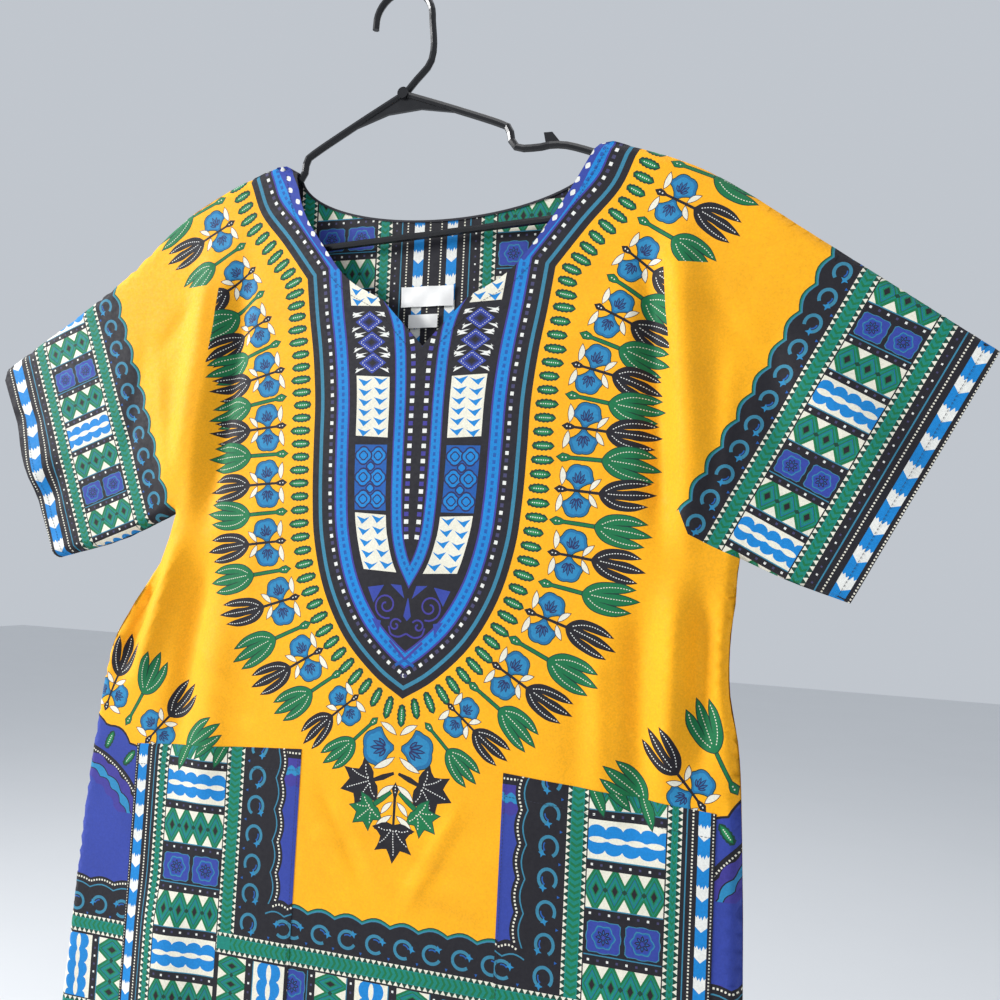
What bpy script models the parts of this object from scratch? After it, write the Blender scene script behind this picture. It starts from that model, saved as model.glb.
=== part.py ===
"""Dashiki shirt hung on a moulded one-piece hanger.

Metres, +Z up. The front of the shirt faces -Y and +X is the viewer's right.
The origin is the inside top of the hanger's hook, where a rail carries it.
Each cloth panel is worked out in the hanging plane (x, z), with x from the
garment's centre line, and then given its depth: the rounding at the seams,
the fullness between front and back, and the main folds.
"""

import math

import bmesh
import bpy
import numpy as np
from mathutils import Vector
from mathutils.geometry import delaunay_2d_cdt

# ---------------------------------------------------------------- cloth sizes
CLOTH = 0.0012             # wall of every cotton panel
LABEL = 0.0010             # wall of the two satin labels
GAP = 0.0003               # space between neighbouring pieces
GARMENT_X = 0.0395         # the centre line hangs this far right of the hook
EDGE_SPACING = 0.028       # distance between points along an outline
GRID_SPACING = 0.031       # distance between points inside a panel
HEM_Z = -0.956
BACK_NECK_DROP = 0.051     # below the neck points, at the centre of the back
SLIT_Z = -0.324            # bottom of the V slit
ROLL = 0.009               # radius of the rounding along every seam
ROLL_ROWS = (0.0016, 0.0048, 0.0105)   # rows of points inside a seam

# One row for each turn of the shoulder seam, neck to cuff, on both sides.
# Columns: name, left x, left z, right x, right z; x is positive outwards.
SHOULDER = (
    ("neck point", 0.136, -0.1572, 0.148, -0.1555),
    ("crest", 0.163, -0.1525, 0.170, -0.1585),
    ("hanger end", 0.246, -0.1890, 0.242, -0.1890),
    ("band start", 0.330, -0.2560, 0.338, -0.2560),
    ("cuff top", 0.458, -0.3370, 0.451, -0.3370),
)

# Underarm seam, cuff to armpit, with the same columns.
UNDERARM = (
    ("cuff bottom", 0.376, -0.5220, 0.353, -0.5250),
    ("middle", 0.305, -0.5020, 0.310, -0.5110),
    ("armpit", 0.243, -0.4740, 0.272, -0.4950),
)

# Side seam, armpit to hem. Columns: height z, left x, right x.
SIDE = (
    (-0.5050, 0.250, 0.2705),
    (-0.5300, 0.262, 0.2695),
    (-0.5600, 0.283, 0.2665),
    (-0.6000, 0.303, 0.2675),
    (-0.6500, 0.311, 0.2765),
    (-0.7500, 0.321, 0.2820),
    (-0.8500, 0.326, 0.2850),
    (HEM_Z, 0.332, 0.2890),
)

# Front neckline between a neck point and the top of the slit. Columns: x, z.
NECK_FRONT = (
    (0.124, -0.197),
    (0.099, -0.234),
    (0.075, -0.262),
    (0.040, -0.282),
)

# Fullness of the body: half the distance from front to back, by height.
FULLNESS = (
    (-0.160, 0.0074),
    (-0.250, 0.0084),
    (-0.400, 0.0100),
    (-0.600, 0.0120),
    (-0.800, 0.0135),
    (HEM_Z, 0.0145),
)
SLEEVE_FULLNESS = 0.0085
SLEEVE_START, SLEEVE_FULL = 0.22, 0.30     # where the sleeve's fullness blends in

# Main folds. Columns: name, x and z at the top, x and z at the bottom,
# half width, height. A fold of negative height is a trough.
FRONT_FOLDS = (
    ("left drape ridge", -0.214, -0.215, -0.241, -0.470, 0.0140, 0.0080),
    ("left drape trough", -0.184, -0.245, -0.212, -0.500, 0.0130, -0.0062),
    ("left armpit ridge", -0.228, -0.485, -0.268, -0.640, 0.0110, 0.0090),
    ("left armpit trough", -0.246, -0.500, -0.292, -0.640, 0.0100, -0.0080),
    ("left side trough", -0.203, -0.500, -0.226, -0.700, 0.0140, -0.0080),
    ("left side ridge", -0.178, -0.540, -0.192, -0.760, 0.0180, 0.0050),
    ("right drape ridge", 0.217, -0.215, 0.243, -0.480, 0.0130, 0.0085),
    ("right drape trough", 0.192, -0.245, 0.213, -0.500, 0.0120, -0.0066),
    ("right body ridge", 0.226, -0.500, 0.222, -0.690, 0.0120, 0.0078),
    ("right body trough", 0.247, -0.510, 0.245, -0.670, 0.0100, -0.0078),
    ("right inner trough", 0.196, -0.520, 0.204, -0.720, 0.0130, -0.0070),
    ("left cuff wave", -0.452, -0.415, -0.380, -0.450, 0.0200, 0.0065),
    ("right sleeve wave", 0.300, -0.330, 0.395, -0.440, 0.0240, 0.0050),
    ("hem left wave", -0.215, -0.800, -0.225, -0.970, 0.0280, 0.0070),
    ("hem right wave", 0.200, -0.820, 0.205, -0.970, 0.0260, 0.0065),
)
BACK_FOLDS = (
    ("left drape ridge", -0.205, -0.215, -0.236, -0.475, 0.0150, 0.0080),
    ("left drape trough", -0.176, -0.245, -0.205, -0.520, 0.0140, -0.0062),
    ("left body trough", -0.230, -0.520, -0.256, -0.720, 0.0140, -0.0078),
    ("left body ridge", -0.196, -0.560, -0.214, -0.800, 0.0180, 0.0065),
    ("right drape ridge", 0.208, -0.215, 0.240, -0.470, 0.0150, 0.0080),
    ("right drape trough", 0.181, -0.245, 0.206, -0.510, 0.0140, -0.0062),
    ("right body trough", 0.222, -0.520, 0.226, -0.740, 0.0130, -0.0080),
    ("right body ridge", 0.190, -0.580, 0.186, -0.840, 0.0180, 0.0060),
    ("centre ridge", -0.030, -0.560, -0.044, -0.860, 0.0260, 0.0050),
    ("hem wave", 0.070, -0.800, 0.078, -0.970, 0.0300, 0.0065),
    ("left cuff wave", -0.450, -0.400, -0.372, -0.440, 0.0220, 0.0055),
)
FOLD_FADE = 0.30           # share of a fold's length in which each end dies out

# Patch pockets on the front: inner and outer edge, mouth and bottom seam.
POCKET_INNER, POCKET_OUTER = 0.0920, 0.2620
POCKET_TOP_INNER, POCKET_TOP_OUTER = -0.6760, -0.6880
POCKET_BOTTOM = -0.9350

# Bare labels on the inside of the back. Columns: name, centre x, centre z,
# width, height.
LABELS = (
    ("neck_label", -0.0050, -0.2760, 0.050, 0.018),
    ("care_label", -0.0080, -0.2980, 0.028, 0.012),
)

# --------------------------------------------------------------- hanger sizes
# Hanger heights are in its own frame, before the whole hanger is tilted.
TUBE = 0.0034              # radius of the arms and the bar
HOOK_TUBE = 0.0032         # radius of the hook's wire-like round
HANGER_TILT = math.radians(3.5)
HOOK_RADIUS = 0.0275       # centre line of the hook's round
JUNCTION_Z = -0.0936
ARM_END_X = 0.2070
BAR_Z = -0.2250
WEB_THICKNESS = 0.0030
BOSS_RADIUS, BOSS_THICKNESS = 0.0052, 0.0090
TAB_X, TAB_TOP_Z, TAB_THICKNESS = 0.1325, -0.1495, 0.0034

# One arm from the junction to the bar. Columns: x, z.
ARM = (
    (0.0000, JUNCTION_Z),
    (0.0500, -0.1160),
    (0.0955, -0.1380),
    (0.0985, -0.1460),
    (0.1010, -0.1540),
    (0.1075, -0.1595),
    (0.1250, -0.1612),
    (0.1340, -0.1607),
    (0.1500, -0.1635),
    (0.1760, -0.1745),
    (ARM_END_X - 0.006, -0.1860),
    (ARM_END_X + 0.004, -0.1935),
    (ARM_END_X + 0.007, -0.2050),
    (ARM_END_X + 0.003, -0.2165),
    (ARM_END_X - 0.008, BAR_Z + 0.0020),
    (ARM_END_X - 0.022, BAR_Z),
)


# ------------------------------------------------------------------- outlines
def smooth_curve(points, spacing=EDGE_SPACING):
    """Points at even spacing on a Catmull-Rom curve through the given ones."""
    p = np.array(points, dtype=float)
    ends = np.vstack([2 * p[0] - p[1], p, 2 * p[-1] - p[-2]])
    fine = []
    for a, b, c, d in zip(ends, ends[1:], ends[2:], ends[3:]):
        for t in np.linspace(0.0, 1.0, 24, endpoint=False):
            fine.append(0.5 * (2 * b + (c - a) * t + (2 * a - 5 * b + 4 * c - d) * t ** 2
                               + (3 * b - a - 3 * c + d) * t ** 3))
    fine.append(p[-1])
    fine = np.array(fine)
    run = np.concatenate([[0.0], np.cumsum(np.linalg.norm(np.diff(fine, axis=0), axis=1))])
    steps = max(1, round(run[-1] / spacing))
    at = np.linspace(0.0, run[-1], steps + 1)
    return [(float(x), float(z)) for x, z in
            zip(np.interp(at, run, fine[:, 0]), np.interp(at, run, fine[:, 1]))]


def straight(start, end, spacing=EDGE_SPACING):
    """Points at even spacing on a straight line."""
    steps = max(1, round(math.dist(start, end) / spacing))
    return [(start[0] + (end[0] - start[0]) * i / steps,
             start[1] + (end[1] - start[1]) * i / steps) for i in range(steps + 1)]


def with_rounded_ends(line):
    """An open edge with extra points near both ends, where the seams round it."""
    points = list(line)
    for _ in range(2):
        (ax, az), (bx, bz) = points[0], points[1]
        length = math.dist(points[0], points[1])
        near = [(ax + (bx - ax) * d / length, az + (bz - az) * d / length) for d in ROLL_ROWS]
        points = ([points[0]] + near + points[1:])[::-1]
    return points


def on_side(rows, side):
    """The named rows of one side as (x, z) points: side is -1 left, +1 right."""
    first = 1 if side < 0 else 3
    return [(side * row[first], row[first + 1]) for row in rows]


def shoulder_line(side):
    return smooth_curve(on_side(SHOULDER, side))


def cuff_line(side):
    return straight(on_side(SHOULDER, side)[-1], on_side(UNDERARM, side)[0])


def underarm_line(side):
    return smooth_curve(on_side(UNDERARM, side))


def side_line(side):
    column = 1 if side < 0 else 2
    armpit = on_side(UNDERARM, side)[-1]
    return smooth_curve([armpit] + [(side * row[column], row[0]) for row in SIDE])


def front_neckline():
    """From the left neck point down to the slit and up to the right one."""
    left = smooth_curve([on_side(SHOULDER, -1)[0]] + [(-x, z) for x, z in NECK_FRONT], 0.020)
    right = smooth_curve([on_side(SHOULDER, 1)[0]] + [(x, z) for x, z in NECK_FRONT], 0.020)
    slit = straight(left[-1], (0.0, SLIT_Z), 0.020)
    return left + slit[1:] + straight((0.0, SLIT_Z), right[-1], 0.020)[1:] + right[-2::-1]


def back_neckline():
    """A half ellipse between the neck points, leaning with them."""
    (left_x, left_z), (right_x, right_z) = on_side(SHOULDER, -1)[0], on_side(SHOULDER, 1)[0]
    centre, half = (left_x + right_x) / 2, (right_x - left_x) / 2
    points = []
    for i in range(17):
        turn = math.pi * (1 - i / 16)
        share = (1 + math.cos(turn)) / 2
        height = left_z + (right_z - left_z) * share
        points.append((centre + half * math.cos(turn), height - BACK_NECK_DROP * math.sin(turn)))
    points[0], points[-1] = (left_x, left_z), (right_x, right_z)
    return points


def panel_outline(neckline):
    """The closed outline of a panel, its neckline first, then round by the right."""
    hem = straight(side_line(1)[-1], side_line(-1)[-1])
    loop = with_rounded_ends(neckline)
    for line in (shoulder_line(1), with_rounded_ends(cuff_line(1)), underarm_line(1),
                 side_line(1), with_rounded_ends(hem), side_line(-1)[::-1],
                 underarm_line(-1)[::-1], with_rounded_ends(cuff_line(-1)[::-1]),
                 shoulder_line(-1)[::-1]):
        loop += line[1:]
    return loop[:-1]


def seam_lines():
    return [line(side) for side in (-1, 1) for line in (shoulder_line, underarm_line, side_line)]


# -------------------------------------------------------------- hanging shape
def line_distance(points, line):
    """Distance of each point to a line of points."""
    best = np.full(len(points), np.inf)
    for a, b in zip(np.array(line), np.array(line[1:])):
        along = np.clip((points - a) @ (b - a) / ((b - a) @ (b - a)), 0.0, 1.0)
        best = np.minimum(best, np.linalg.norm(points - a - along[:, None] * (b - a), axis=1))
    return best


def seam_distance(points):
    return np.min([line_distance(points, line) for line in seam_lines()], axis=0)


def ease(value, start, end):
    """0 at start, 1 at end, smooth between them."""
    t = np.clip((value - start) / (end - start), 0.0, 1.0)
    return t * t * (3 - 2 * t)


def fold_height(points, folds):
    """Sum of the folds at each point: a soft ridge whose ends die out."""
    total = np.zeros(len(points))
    for _, x0, z0, x1, z1, width, height in folds:
        start, run = np.array((x0, z0)), np.array((x1 - x0, z1 - z0))
        length = np.linalg.norm(run)
        run = run / length
        along = (points - start) @ run / length
        across = (points - start) @ np.array((-run[1], run[0]))
        ends = ease(along, -0.05, FOLD_FADE) * (1 - ease(along, 1 - FOLD_FADE, 1.05))
        total += height * ends * np.exp(-(across / width) ** 2)
    return total


def depth(points, folds):
    """How far a panel's middle lies from the plane of the seams."""
    heights = [row[0] for row in FULLNESS][::-1]
    values = [row[1] for row in FULLNESS][::-1]
    body = np.interp(points[:, 1], heights, values)
    sleeve = ease(np.abs(points[:, 0]), SLEEVE_START, SLEEVE_FULL)
    sleeve = sleeve * ease(points[:, 1], -0.54, -0.50)
    full = body * (1 - sleeve) + SLEEVE_FULLNESS * sleeve
    inside = np.clip(seam_distance(points) / ROLL, 0.0, 1.0)
    rounding = np.sqrt(1 - (1 - inside) ** 2)
    return GAP + rounding * (full + fold_height(points, folds) * inside)


# --------------------------------------------------------------------- panels
def inside(points, loop):
    """Which points lie inside a closed loop."""
    x, z = points[:, 0], points[:, 1]
    result = np.zeros(len(points), dtype=bool)
    for (ax, az), (bx, bz) in zip(loop, loop[1:] + loop[:1]):
        crosses = (az > z) != (bz > z)
        rise = bz - az if bz != az else 1.0
        result ^= crosses & (x < (bx - ax) * (z - az) / rise + ax)
    return result


def seam_rows(outline):
    """Rows of points just inside the seams, which carry their rounding."""
    rows = []
    for offset in ROLL_ROWS:
        for line in seam_lines():
            p = np.array(line)
            for a, b in zip(p, p[1:]):
                run = (b - a) / np.linalg.norm(b - a)
                middle = (a + b) / 2
                for sign in (-1, 1):
                    for at in (a, middle):
                        rows.append(at + sign * offset * np.array((-run[1], run[0])))
    rows = np.array(rows)
    keep = inside(rows, outline)
    far = np.round(seam_distance(rows), 6)
    allowed = np.repeat(ROLL_ROWS, len(rows) // len(ROLL_ROWS))
    return rows[keep & (far > 0.9 * allowed)]


def grid_points(outline, loops):
    """An even triangular grid inside the outline, clear of every line."""
    points = []
    row = 0
    z = HEM_Z
    while z < -0.15:
        shift = 0.5 * GRID_SPACING * (row % 2)
        for x in np.arange(-0.47, 0.47, GRID_SPACING):
            points.append((x + shift, z))
        row += 1
        z += GRID_SPACING * 0.87
    points = np.array(points)
    clear = inside(points, outline)
    for loop in [outline] + loops:
        clear &= line_distance(points, loop + loop[:1]) > 0.42 * GRID_SPACING
    return points[clear & (seam_distance(points) > ROLL_ROWS[-1] + 0.35 * GRID_SPACING)]


def triangulate(outline, loops):
    """Triangles of a panel whose edges follow its outline and the inner loops."""
    verts = [Vector(p) for p in outline]
    edges = [(i, (i + 1) % len(outline)) for i in range(len(outline))]
    for loop in loops:
        start = len(verts)
        verts += [Vector(p) for p in loop]
        edges += [(start + i, start + (i + 1) % len(loop)) for i in range(len(loop))]
    extra = list(seam_rows(outline)) + list(grid_points(outline, loops))
    verts += [Vector(p) for p in extra]
    points, _, faces, _, _, _ = delaunay_2d_cdt(verts, edges, [], 0, 1e-5)
    points = np.array([tuple(p) for p in points])
    faces = np.array(faces)
    kept = faces[inside(points[faces].mean(axis=1), outline)]
    return points, kept


def material(name, colour, roughness, metallic=0.0):
    made = bpy.data.materials.new(name)
    made.use_nodes = True
    shader = made.node_tree.nodes["Principled BSDF"]
    shader.inputs["Base Color"].default_value = (*colour, 1.0)
    shader.inputs["Roughness"].default_value = roughness
    shader.inputs["Metallic"].default_value = metallic
    return made


def add_object(name, mesh, surface):
    made = bpy.data.objects.new(name, mesh)
    bpy.context.scene.collection.objects.link(made)
    mesh.materials.append(surface)
    return made


def sheet_mesh(name, points, depths, faces, outward):
    """A mesh of the given faces, whose normals point to outward (-1 is -Y)."""
    used = np.unique(faces)
    index = {int(old): new for new, old in enumerate(used)}
    verts = [(GARMENT_X + points[i, 0], depths[i], points[i, 1]) for i in used]
    mesh = bpy.data.meshes.new(name)
    mesh.from_pydata(verts, [], [[index[int(i)] for i in face] for face in faces])
    shape = bmesh.new()
    shape.from_mesh(mesh)
    bmesh.ops.recalc_face_normals(shape, faces=shape.faces)
    if sum(face.normal.y * face.calc_area() for face in shape.faces) * outward < 0:
        bmesh.ops.reverse_faces(shape, faces=shape.faces)
    shape.to_mesh(mesh)
    shape.free()
    mesh.shade_smooth()
    mesh.set_sharp_from_angle(angle=math.radians(50))
    return mesh


def thicken(made, wall):
    """Cloth of even thickness, half on each side of its middle."""
    solid = made.modifiers.new("wall", "SOLIDIFY")
    solid.thickness = wall
    solid.offset = 0.0
    solid.use_even_offset = True
    solid.thickness_clamp = 1.0


def keep_apart(made, outward):
    """Trim a panel's wall to its own side of the seams' plane, half a gap off it."""
    graph = bpy.context.evaluated_depsgraph_get()
    mesh = bpy.data.meshes.new_from_object(made.evaluated_get(graph))
    for vert in mesh.vertices:
        vert.co.y = outward * max(GAP / 2, outward * vert.co.y)
    made.modifiers.clear()
    made.data = mesh


def moved_out(name, points, depths, faces, outward, distance):
    """The middle of a piece that lies on a panel: its points along their normals."""
    mesh = sheet_mesh(name, points, depths, faces, outward)
    shape = bmesh.new()
    shape.from_mesh(mesh)
    shape.normal_update()
    normals = [vert.normal.copy() for vert in shape.verts]
    for vert, normal in zip(shape.verts, normals):
        vert.co += normal * distance
    shape.to_mesh(mesh)
    shape.free()
    return mesh


def pocket_loop(side):
    """Outline of a patch pocket, whose mouth drops a little to the side seam."""
    inner, outer = side * POCKET_INNER, side * POCKET_OUTER
    corners = [(inner, POCKET_TOP_INNER), (outer, POCKET_TOP_OUTER),
               (outer, POCKET_BOTTOM), (inner, POCKET_BOTTOM), (inner, POCKET_TOP_INNER)]
    loop = []
    for a, b in zip(corners, corners[1:]):
        loop += straight(a, b)[:-1]
    return loop


def label_loop(row):
    _, x, z, width, height = row
    corners = [(x - width / 2, z - height / 2), (x + width / 2, z - height / 2),
               (x + width / 2, z + height / 2), (x - width / 2, z + height / 2)]
    loop = []
    for a, b in zip(corners, corners[1:] + corners[:1]):
        loop += straight(a, b, 0.014)[:-1]
    return loop


def build_front(cotton):
    """Front panel with its cut-on sleeves, and the two pockets that lie on it."""
    outline = panel_outline(front_neckline())
    loops = [pocket_loop(-1), pocket_loop(1)]
    points, faces = triangulate(outline, loops)
    depths = -depth(points, FRONT_FOLDS)
    front = add_object("front", sheet_mesh("front", points, depths, faces, -1), cotton)
    thicken(front, CLOTH)
    keep_apart(front, -1)
    centres = points[faces].mean(axis=1)
    for name, loop in zip(("pocket_left", "pocket_right"), loops):
        own = faces[inside(centres, loop)]
        mesh = moved_out(name, points, depths, own, -1, CLOTH + GAP)
        thicken(add_object(name, mesh, cotton), CLOTH)


def build_back(cotton, satin):
    """Back panel with its cut-on sleeves, and the labels on its inside."""
    outline = panel_outline(back_neckline())
    loops = [label_loop(row) for row in LABELS]
    points, faces = triangulate(outline, loops)
    depths = depth(points, BACK_FOLDS)
    back = add_object("back", sheet_mesh("back", points, depths, faces, 1), cotton)
    thicken(back, CLOTH)
    keep_apart(back, 1)
    centres = points[faces].mean(axis=1)
    for row, loop in zip(LABELS, loops):
        own = faces[inside(centres, loop)]
        mesh = moved_out(row[0], points, depths, own, -1, CLOTH / 2 + GAP + LABEL / 2)
        thicken(add_object(row[0], mesh, satin), LABEL)


# --------------------------------------------------------------------- hanger
def tube(name, points, radius, closed=False):
    """A round bar along points (x, z) in the hanging plane."""
    curve = bpy.data.curves.new(name, "CURVE")
    curve.dimensions = "3D"
    curve.bevel_depth = radius
    curve.bevel_resolution = 2
    curve.use_fill_caps = True
    spline = curve.splines.new("POLY")
    spline.points.add(len(points) - 1)
    for point, (x, z) in zip(spline.points, points):
        point.co = (x, 0.0, z, 1.0)
    spline.use_cyclic_u = closed
    made = bpy.data.objects.new(name, curve)
    bpy.context.scene.collection.objects.link(made)
    mesh = bpy.data.meshes.new_from_object(made.evaluated_get(bpy.context.evaluated_depsgraph_get()))
    bpy.data.objects.remove(made)
    return mesh


def hook_points():
    """From the tip over the round and down the shank to the junction."""
    centre_z = HOOK_TUBE - HOOK_RADIUS
    points = [(-HOOK_RADIUS * 1.02, centre_z - 0.004)]
    for i in range(19):
        turn = math.radians(170 - 170 * i / 18)
        points.append((HOOK_RADIUS * math.cos(turn), centre_z + HOOK_RADIUS * math.sin(turn)))
    points += smooth_curve([(HOOK_RADIUS, centre_z - 0.006), (HOOK_RADIUS + 0.001, -0.055),
                            (HOOK_RADIUS - 0.003, -0.070), (0.012, -0.082),
                            (0.0015, JUNCTION_Z + 0.001)], 0.007)
    return points


def frame_points():
    """Both arms and the bar as one closed run."""
    right = smooth_curve(ARM, 0.0075)
    left = [(-x, z) for x, z in right]
    bar = straight(right[-1], left[-1], 0.040)
    return right + bar[1:-1] + left[::-1][:-1]


def plate_mesh(name, corners, thickness):
    """A flat plate from its outline (x, z)."""
    shape = bmesh.new()
    face = shape.faces.new([shape.verts.new((x, -thickness / 2, z)) for x, z in corners])
    added = bmesh.ops.extrude_face_region(shape, geom=[face])["geom"]
    bmesh.ops.translate(shape, vec=(0, thickness, 0),
                        verts=[v for v in added if isinstance(v, bmesh.types.BMVert)])
    bmesh.ops.recalc_face_normals(shape, faces=shape.faces)
    mesh = bpy.data.meshes.new(name)
    shape.to_mesh(mesh)
    shape.free()
    return mesh


def web_corners():
    """Gusset under the junction, its lower edge shallower than the arms."""
    slope = (ARM[2][1] - ARM[0][1]) / (ARM[2][0] - ARM[0][0])
    reach, inner = 0.058, 0.016
    return [(-reach, JUNCTION_Z + slope * reach), (-inner, JUNCTION_Z - 0.0165),
            (inner, JUNCTION_Z - 0.0165), (reach, JUNCTION_Z + slope * reach),
            (0.0, JUNCTION_Z + 0.001)]


def boss_corners():
    return [(BOSS_RADIUS * math.cos(math.radians(a)), JUNCTION_Z + BOSS_RADIUS * math.sin(math.radians(a)))
            for a in range(0, 360, 20)]


def tab_corners(side):
    """Small hooked tab that keeps a strap in the notch."""
    return [(side * (TAB_X - 0.0035), TAB_TOP_Z), (side * (TAB_X + 0.0040), TAB_TOP_Z - 0.0005),
            (side * (TAB_X + 0.0110), -0.1600), (side * (TAB_X - 0.0020), -0.1590)]


def build_hanger(plastic):
    """One moulded piece: hook, arms with strap notches, web, boss and bar."""
    made = add_object("hanger", tube("hanger", frame_points(), TUBE, closed=True), plastic)
    extras = [("hook", tube("hook", hook_points(), HOOK_TUBE)),
              ("web", plate_mesh("web", web_corners(), WEB_THICKNESS)),
              ("boss", plate_mesh("boss", boss_corners(), BOSS_THICKNESS)),
              ("tab_left", plate_mesh("tab_left", tab_corners(-1), TAB_THICKNESS)),
              ("tab_right", plate_mesh("tab_right", tab_corners(1), TAB_THICKNESS))]
    cutters = []
    for name, mesh in extras:
        extra = bpy.data.objects.new(name, mesh)
        bpy.context.scene.collection.objects.link(extra)
        join = made.modifiers.new(name, "BOOLEAN")
        join.operation = "UNION"
        join.solver = "EXACT"
        join.use_self = True
        join.object = extra
        cutters.append(extra)
    whole = bpy.data.meshes.new_from_object(made.evaluated_get(bpy.context.evaluated_depsgraph_get()))
    made.modifiers.clear()
    for extra in cutters:
        bpy.data.objects.remove(extra)
    made.data = whole
    whole.shade_smooth()
    whole.set_sharp_from_angle(angle=math.radians(35))
    made.rotation_euler = (0.0, -HANGER_TILT, 0.0)


def main():
    for item in list(bpy.data.objects):
        bpy.data.objects.remove(item)
    cotton = material("printed_cotton", (1.0, 0.48, 0.0), 0.85)
    satin = material("white_satin", (0.85, 0.84, 0.80), 0.45)
    plastic = material("black_plastic", (0.012, 0.012, 0.013), 0.25)
    build_front(cotton)
    build_back(cotton, satin)
    build_hanger(plastic)


main()
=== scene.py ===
import math

import bpy
import numpy as np
from mathutils import Matrix, Vector
from mathutils.geometry import delaunay_2d_cdt


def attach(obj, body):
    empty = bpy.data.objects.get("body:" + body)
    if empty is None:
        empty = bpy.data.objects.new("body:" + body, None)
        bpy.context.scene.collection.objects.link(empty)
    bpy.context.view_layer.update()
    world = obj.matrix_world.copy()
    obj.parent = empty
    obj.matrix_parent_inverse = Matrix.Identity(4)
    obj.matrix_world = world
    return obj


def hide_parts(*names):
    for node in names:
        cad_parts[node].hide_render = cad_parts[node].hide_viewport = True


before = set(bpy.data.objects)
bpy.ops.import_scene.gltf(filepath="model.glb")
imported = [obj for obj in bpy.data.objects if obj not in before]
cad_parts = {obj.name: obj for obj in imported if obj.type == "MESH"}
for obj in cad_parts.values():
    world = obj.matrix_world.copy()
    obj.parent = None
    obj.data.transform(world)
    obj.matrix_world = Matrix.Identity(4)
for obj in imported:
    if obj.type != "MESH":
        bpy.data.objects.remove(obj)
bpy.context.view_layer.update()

# ------------------------------------------------------------------ the garment
# Metres, x from the garment's centre line, z from the hook's bearing point.
GARMENT_X = 0.0395
HEM_Z = -0.956
BACK_NECK_DROP = 0.051
SLIT_Z = -0.324
ROLL = 0.009

SHOULDER = (  # name, left x, left z, right x, right z
    ("neck point", 0.136, -0.1572, 0.148, -0.1555),
    ("crest", 0.163, -0.1525, 0.170, -0.1585),
    ("hanger end", 0.246, -0.1890, 0.242, -0.1890),
    ("band start", 0.330, -0.2560, 0.338, -0.2560),
    ("cuff top", 0.458, -0.3370, 0.451, -0.3370),
)
UNDERARM = (  # name, left x, left z, right x, right z
    ("cuff bottom", 0.376, -0.5220, 0.353, -0.5250),
    ("middle", 0.305, -0.5020, 0.310, -0.5110),
    ("armpit", 0.243, -0.4740, 0.272, -0.4950),
)
SIDE = (  # z, left x, right x
    (-0.5050, 0.250, 0.2705),
    (-0.5300, 0.262, 0.2695),
    (-0.5600, 0.283, 0.2665),
    (-0.6000, 0.303, 0.2675),
    (-0.6500, 0.311, 0.2765),
    (-0.7500, 0.321, 0.2820),
    (-0.8500, 0.326, 0.2850),
    (HEM_Z, 0.332, 0.2890),
)
NECK_FRONT = ((0.124, -0.197), (0.099, -0.234), (0.075, -0.262), (0.040, -0.282))
FULLNESS = (  # z, half depth of the hanging body
    (-0.160, 0.0074), (-0.250, 0.0084), (-0.400, 0.0100),
    (-0.600, 0.0120), (-0.800, 0.0135), (HEM_Z, 0.0145),
)
SLEEVE_FULLNESS = 0.0085
SLEEVE_START, SLEEVE_FULL = 0.22, 0.30
FOLD_FADE = 0.30
NECK_TURN, HEM_TURN = 0.0020, 0.0120
SHEET_SPACING, EDGE_SPACING = 0.0075, 0.008
SEAM_GAP, EDGE_PROUD, LABEL_INSET = 0.0002, 0.0004, 0.0017
COTTON_PITCH, SATIN_PITCH = 0.0008, 0.0006
STITCH_PITCH, STITCH_HALF_WIDTH, STITCH_INSET = 0.0030, 0.00024, 0.010
POCKET_STITCH, POCKET_MOUTH = 0.0024, 0.018
CAMERA_SENSOR, CAMERA_LENS = 36.0, 36.07
CAMERA_PLACE = (0.3815, -0.795, -0.505)
CAMERA_TURNS = (-0.325112, 0.060038, 0.046662)
LIGHTS = (("key", (-2.3, -1.15, 0.5), (0.0, 0.0, -0.5), 0.8, 92.0),
          ("fill", (1.9, -1.8, 0.1), (0.0, 0.0, -0.6), 2.0, 6.0),
          ("top", (0.2, -0.4, 1.6), (0.0, 0.0, -0.4), 1.4, 14.0),
          ("rear", (0.3, 2.0, 1.6), (0.0, 0.0, -0.4), 2.2, 9.0))
FLOOR_HALF, FLOOR_Z = 8.0, -1.45

FRONT_FOLDS = (  # name, x0, z0, x1, z1, half width, height
    ("left drape ridge", -.214, -.215, -.241, -.470, .0140, .0080),
    ("left drape trough", -.184, -.245, -.212, -.500, .0130, -.0062),
    ("left armpit ridge", -.228, -.485, -.268, -.640, .0110, .0090),
    ("left armpit trough", -.246, -.500, -.292, -.640, .0100, -.0080),
    ("left side trough", -.203, -.500, -.226, -.700, .0140, -.0080),
    ("left side ridge", -.178, -.540, -.192, -.760, .0180, .0050),
    ("right drape ridge", .217, -.215, .243, -.480, .0130, .0085),
    ("right drape trough", .192, -.245, .213, -.500, .0120, -.0066),
    ("right body ridge", .226, -.500, .222, -.690, .0120, .0078),
    ("right body trough", .247, -.510, .245, -.670, .0100, -.0078),
    ("right inner trough", .196, -.520, .204, -.720, .0130, -.0070),
    ("left cuff wave", -.452, -.415, -.380, -.450, .0200, .0065),
    ("right sleeve wave", .300, -.330, .395, -.440, .0240, .0050),
    ("hem left wave", -.215, -.800, -.225, -.970, .0280, .0070),
    ("hem right wave", .200, -.820, .205, -.970, .0260, .0065),
)
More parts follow.
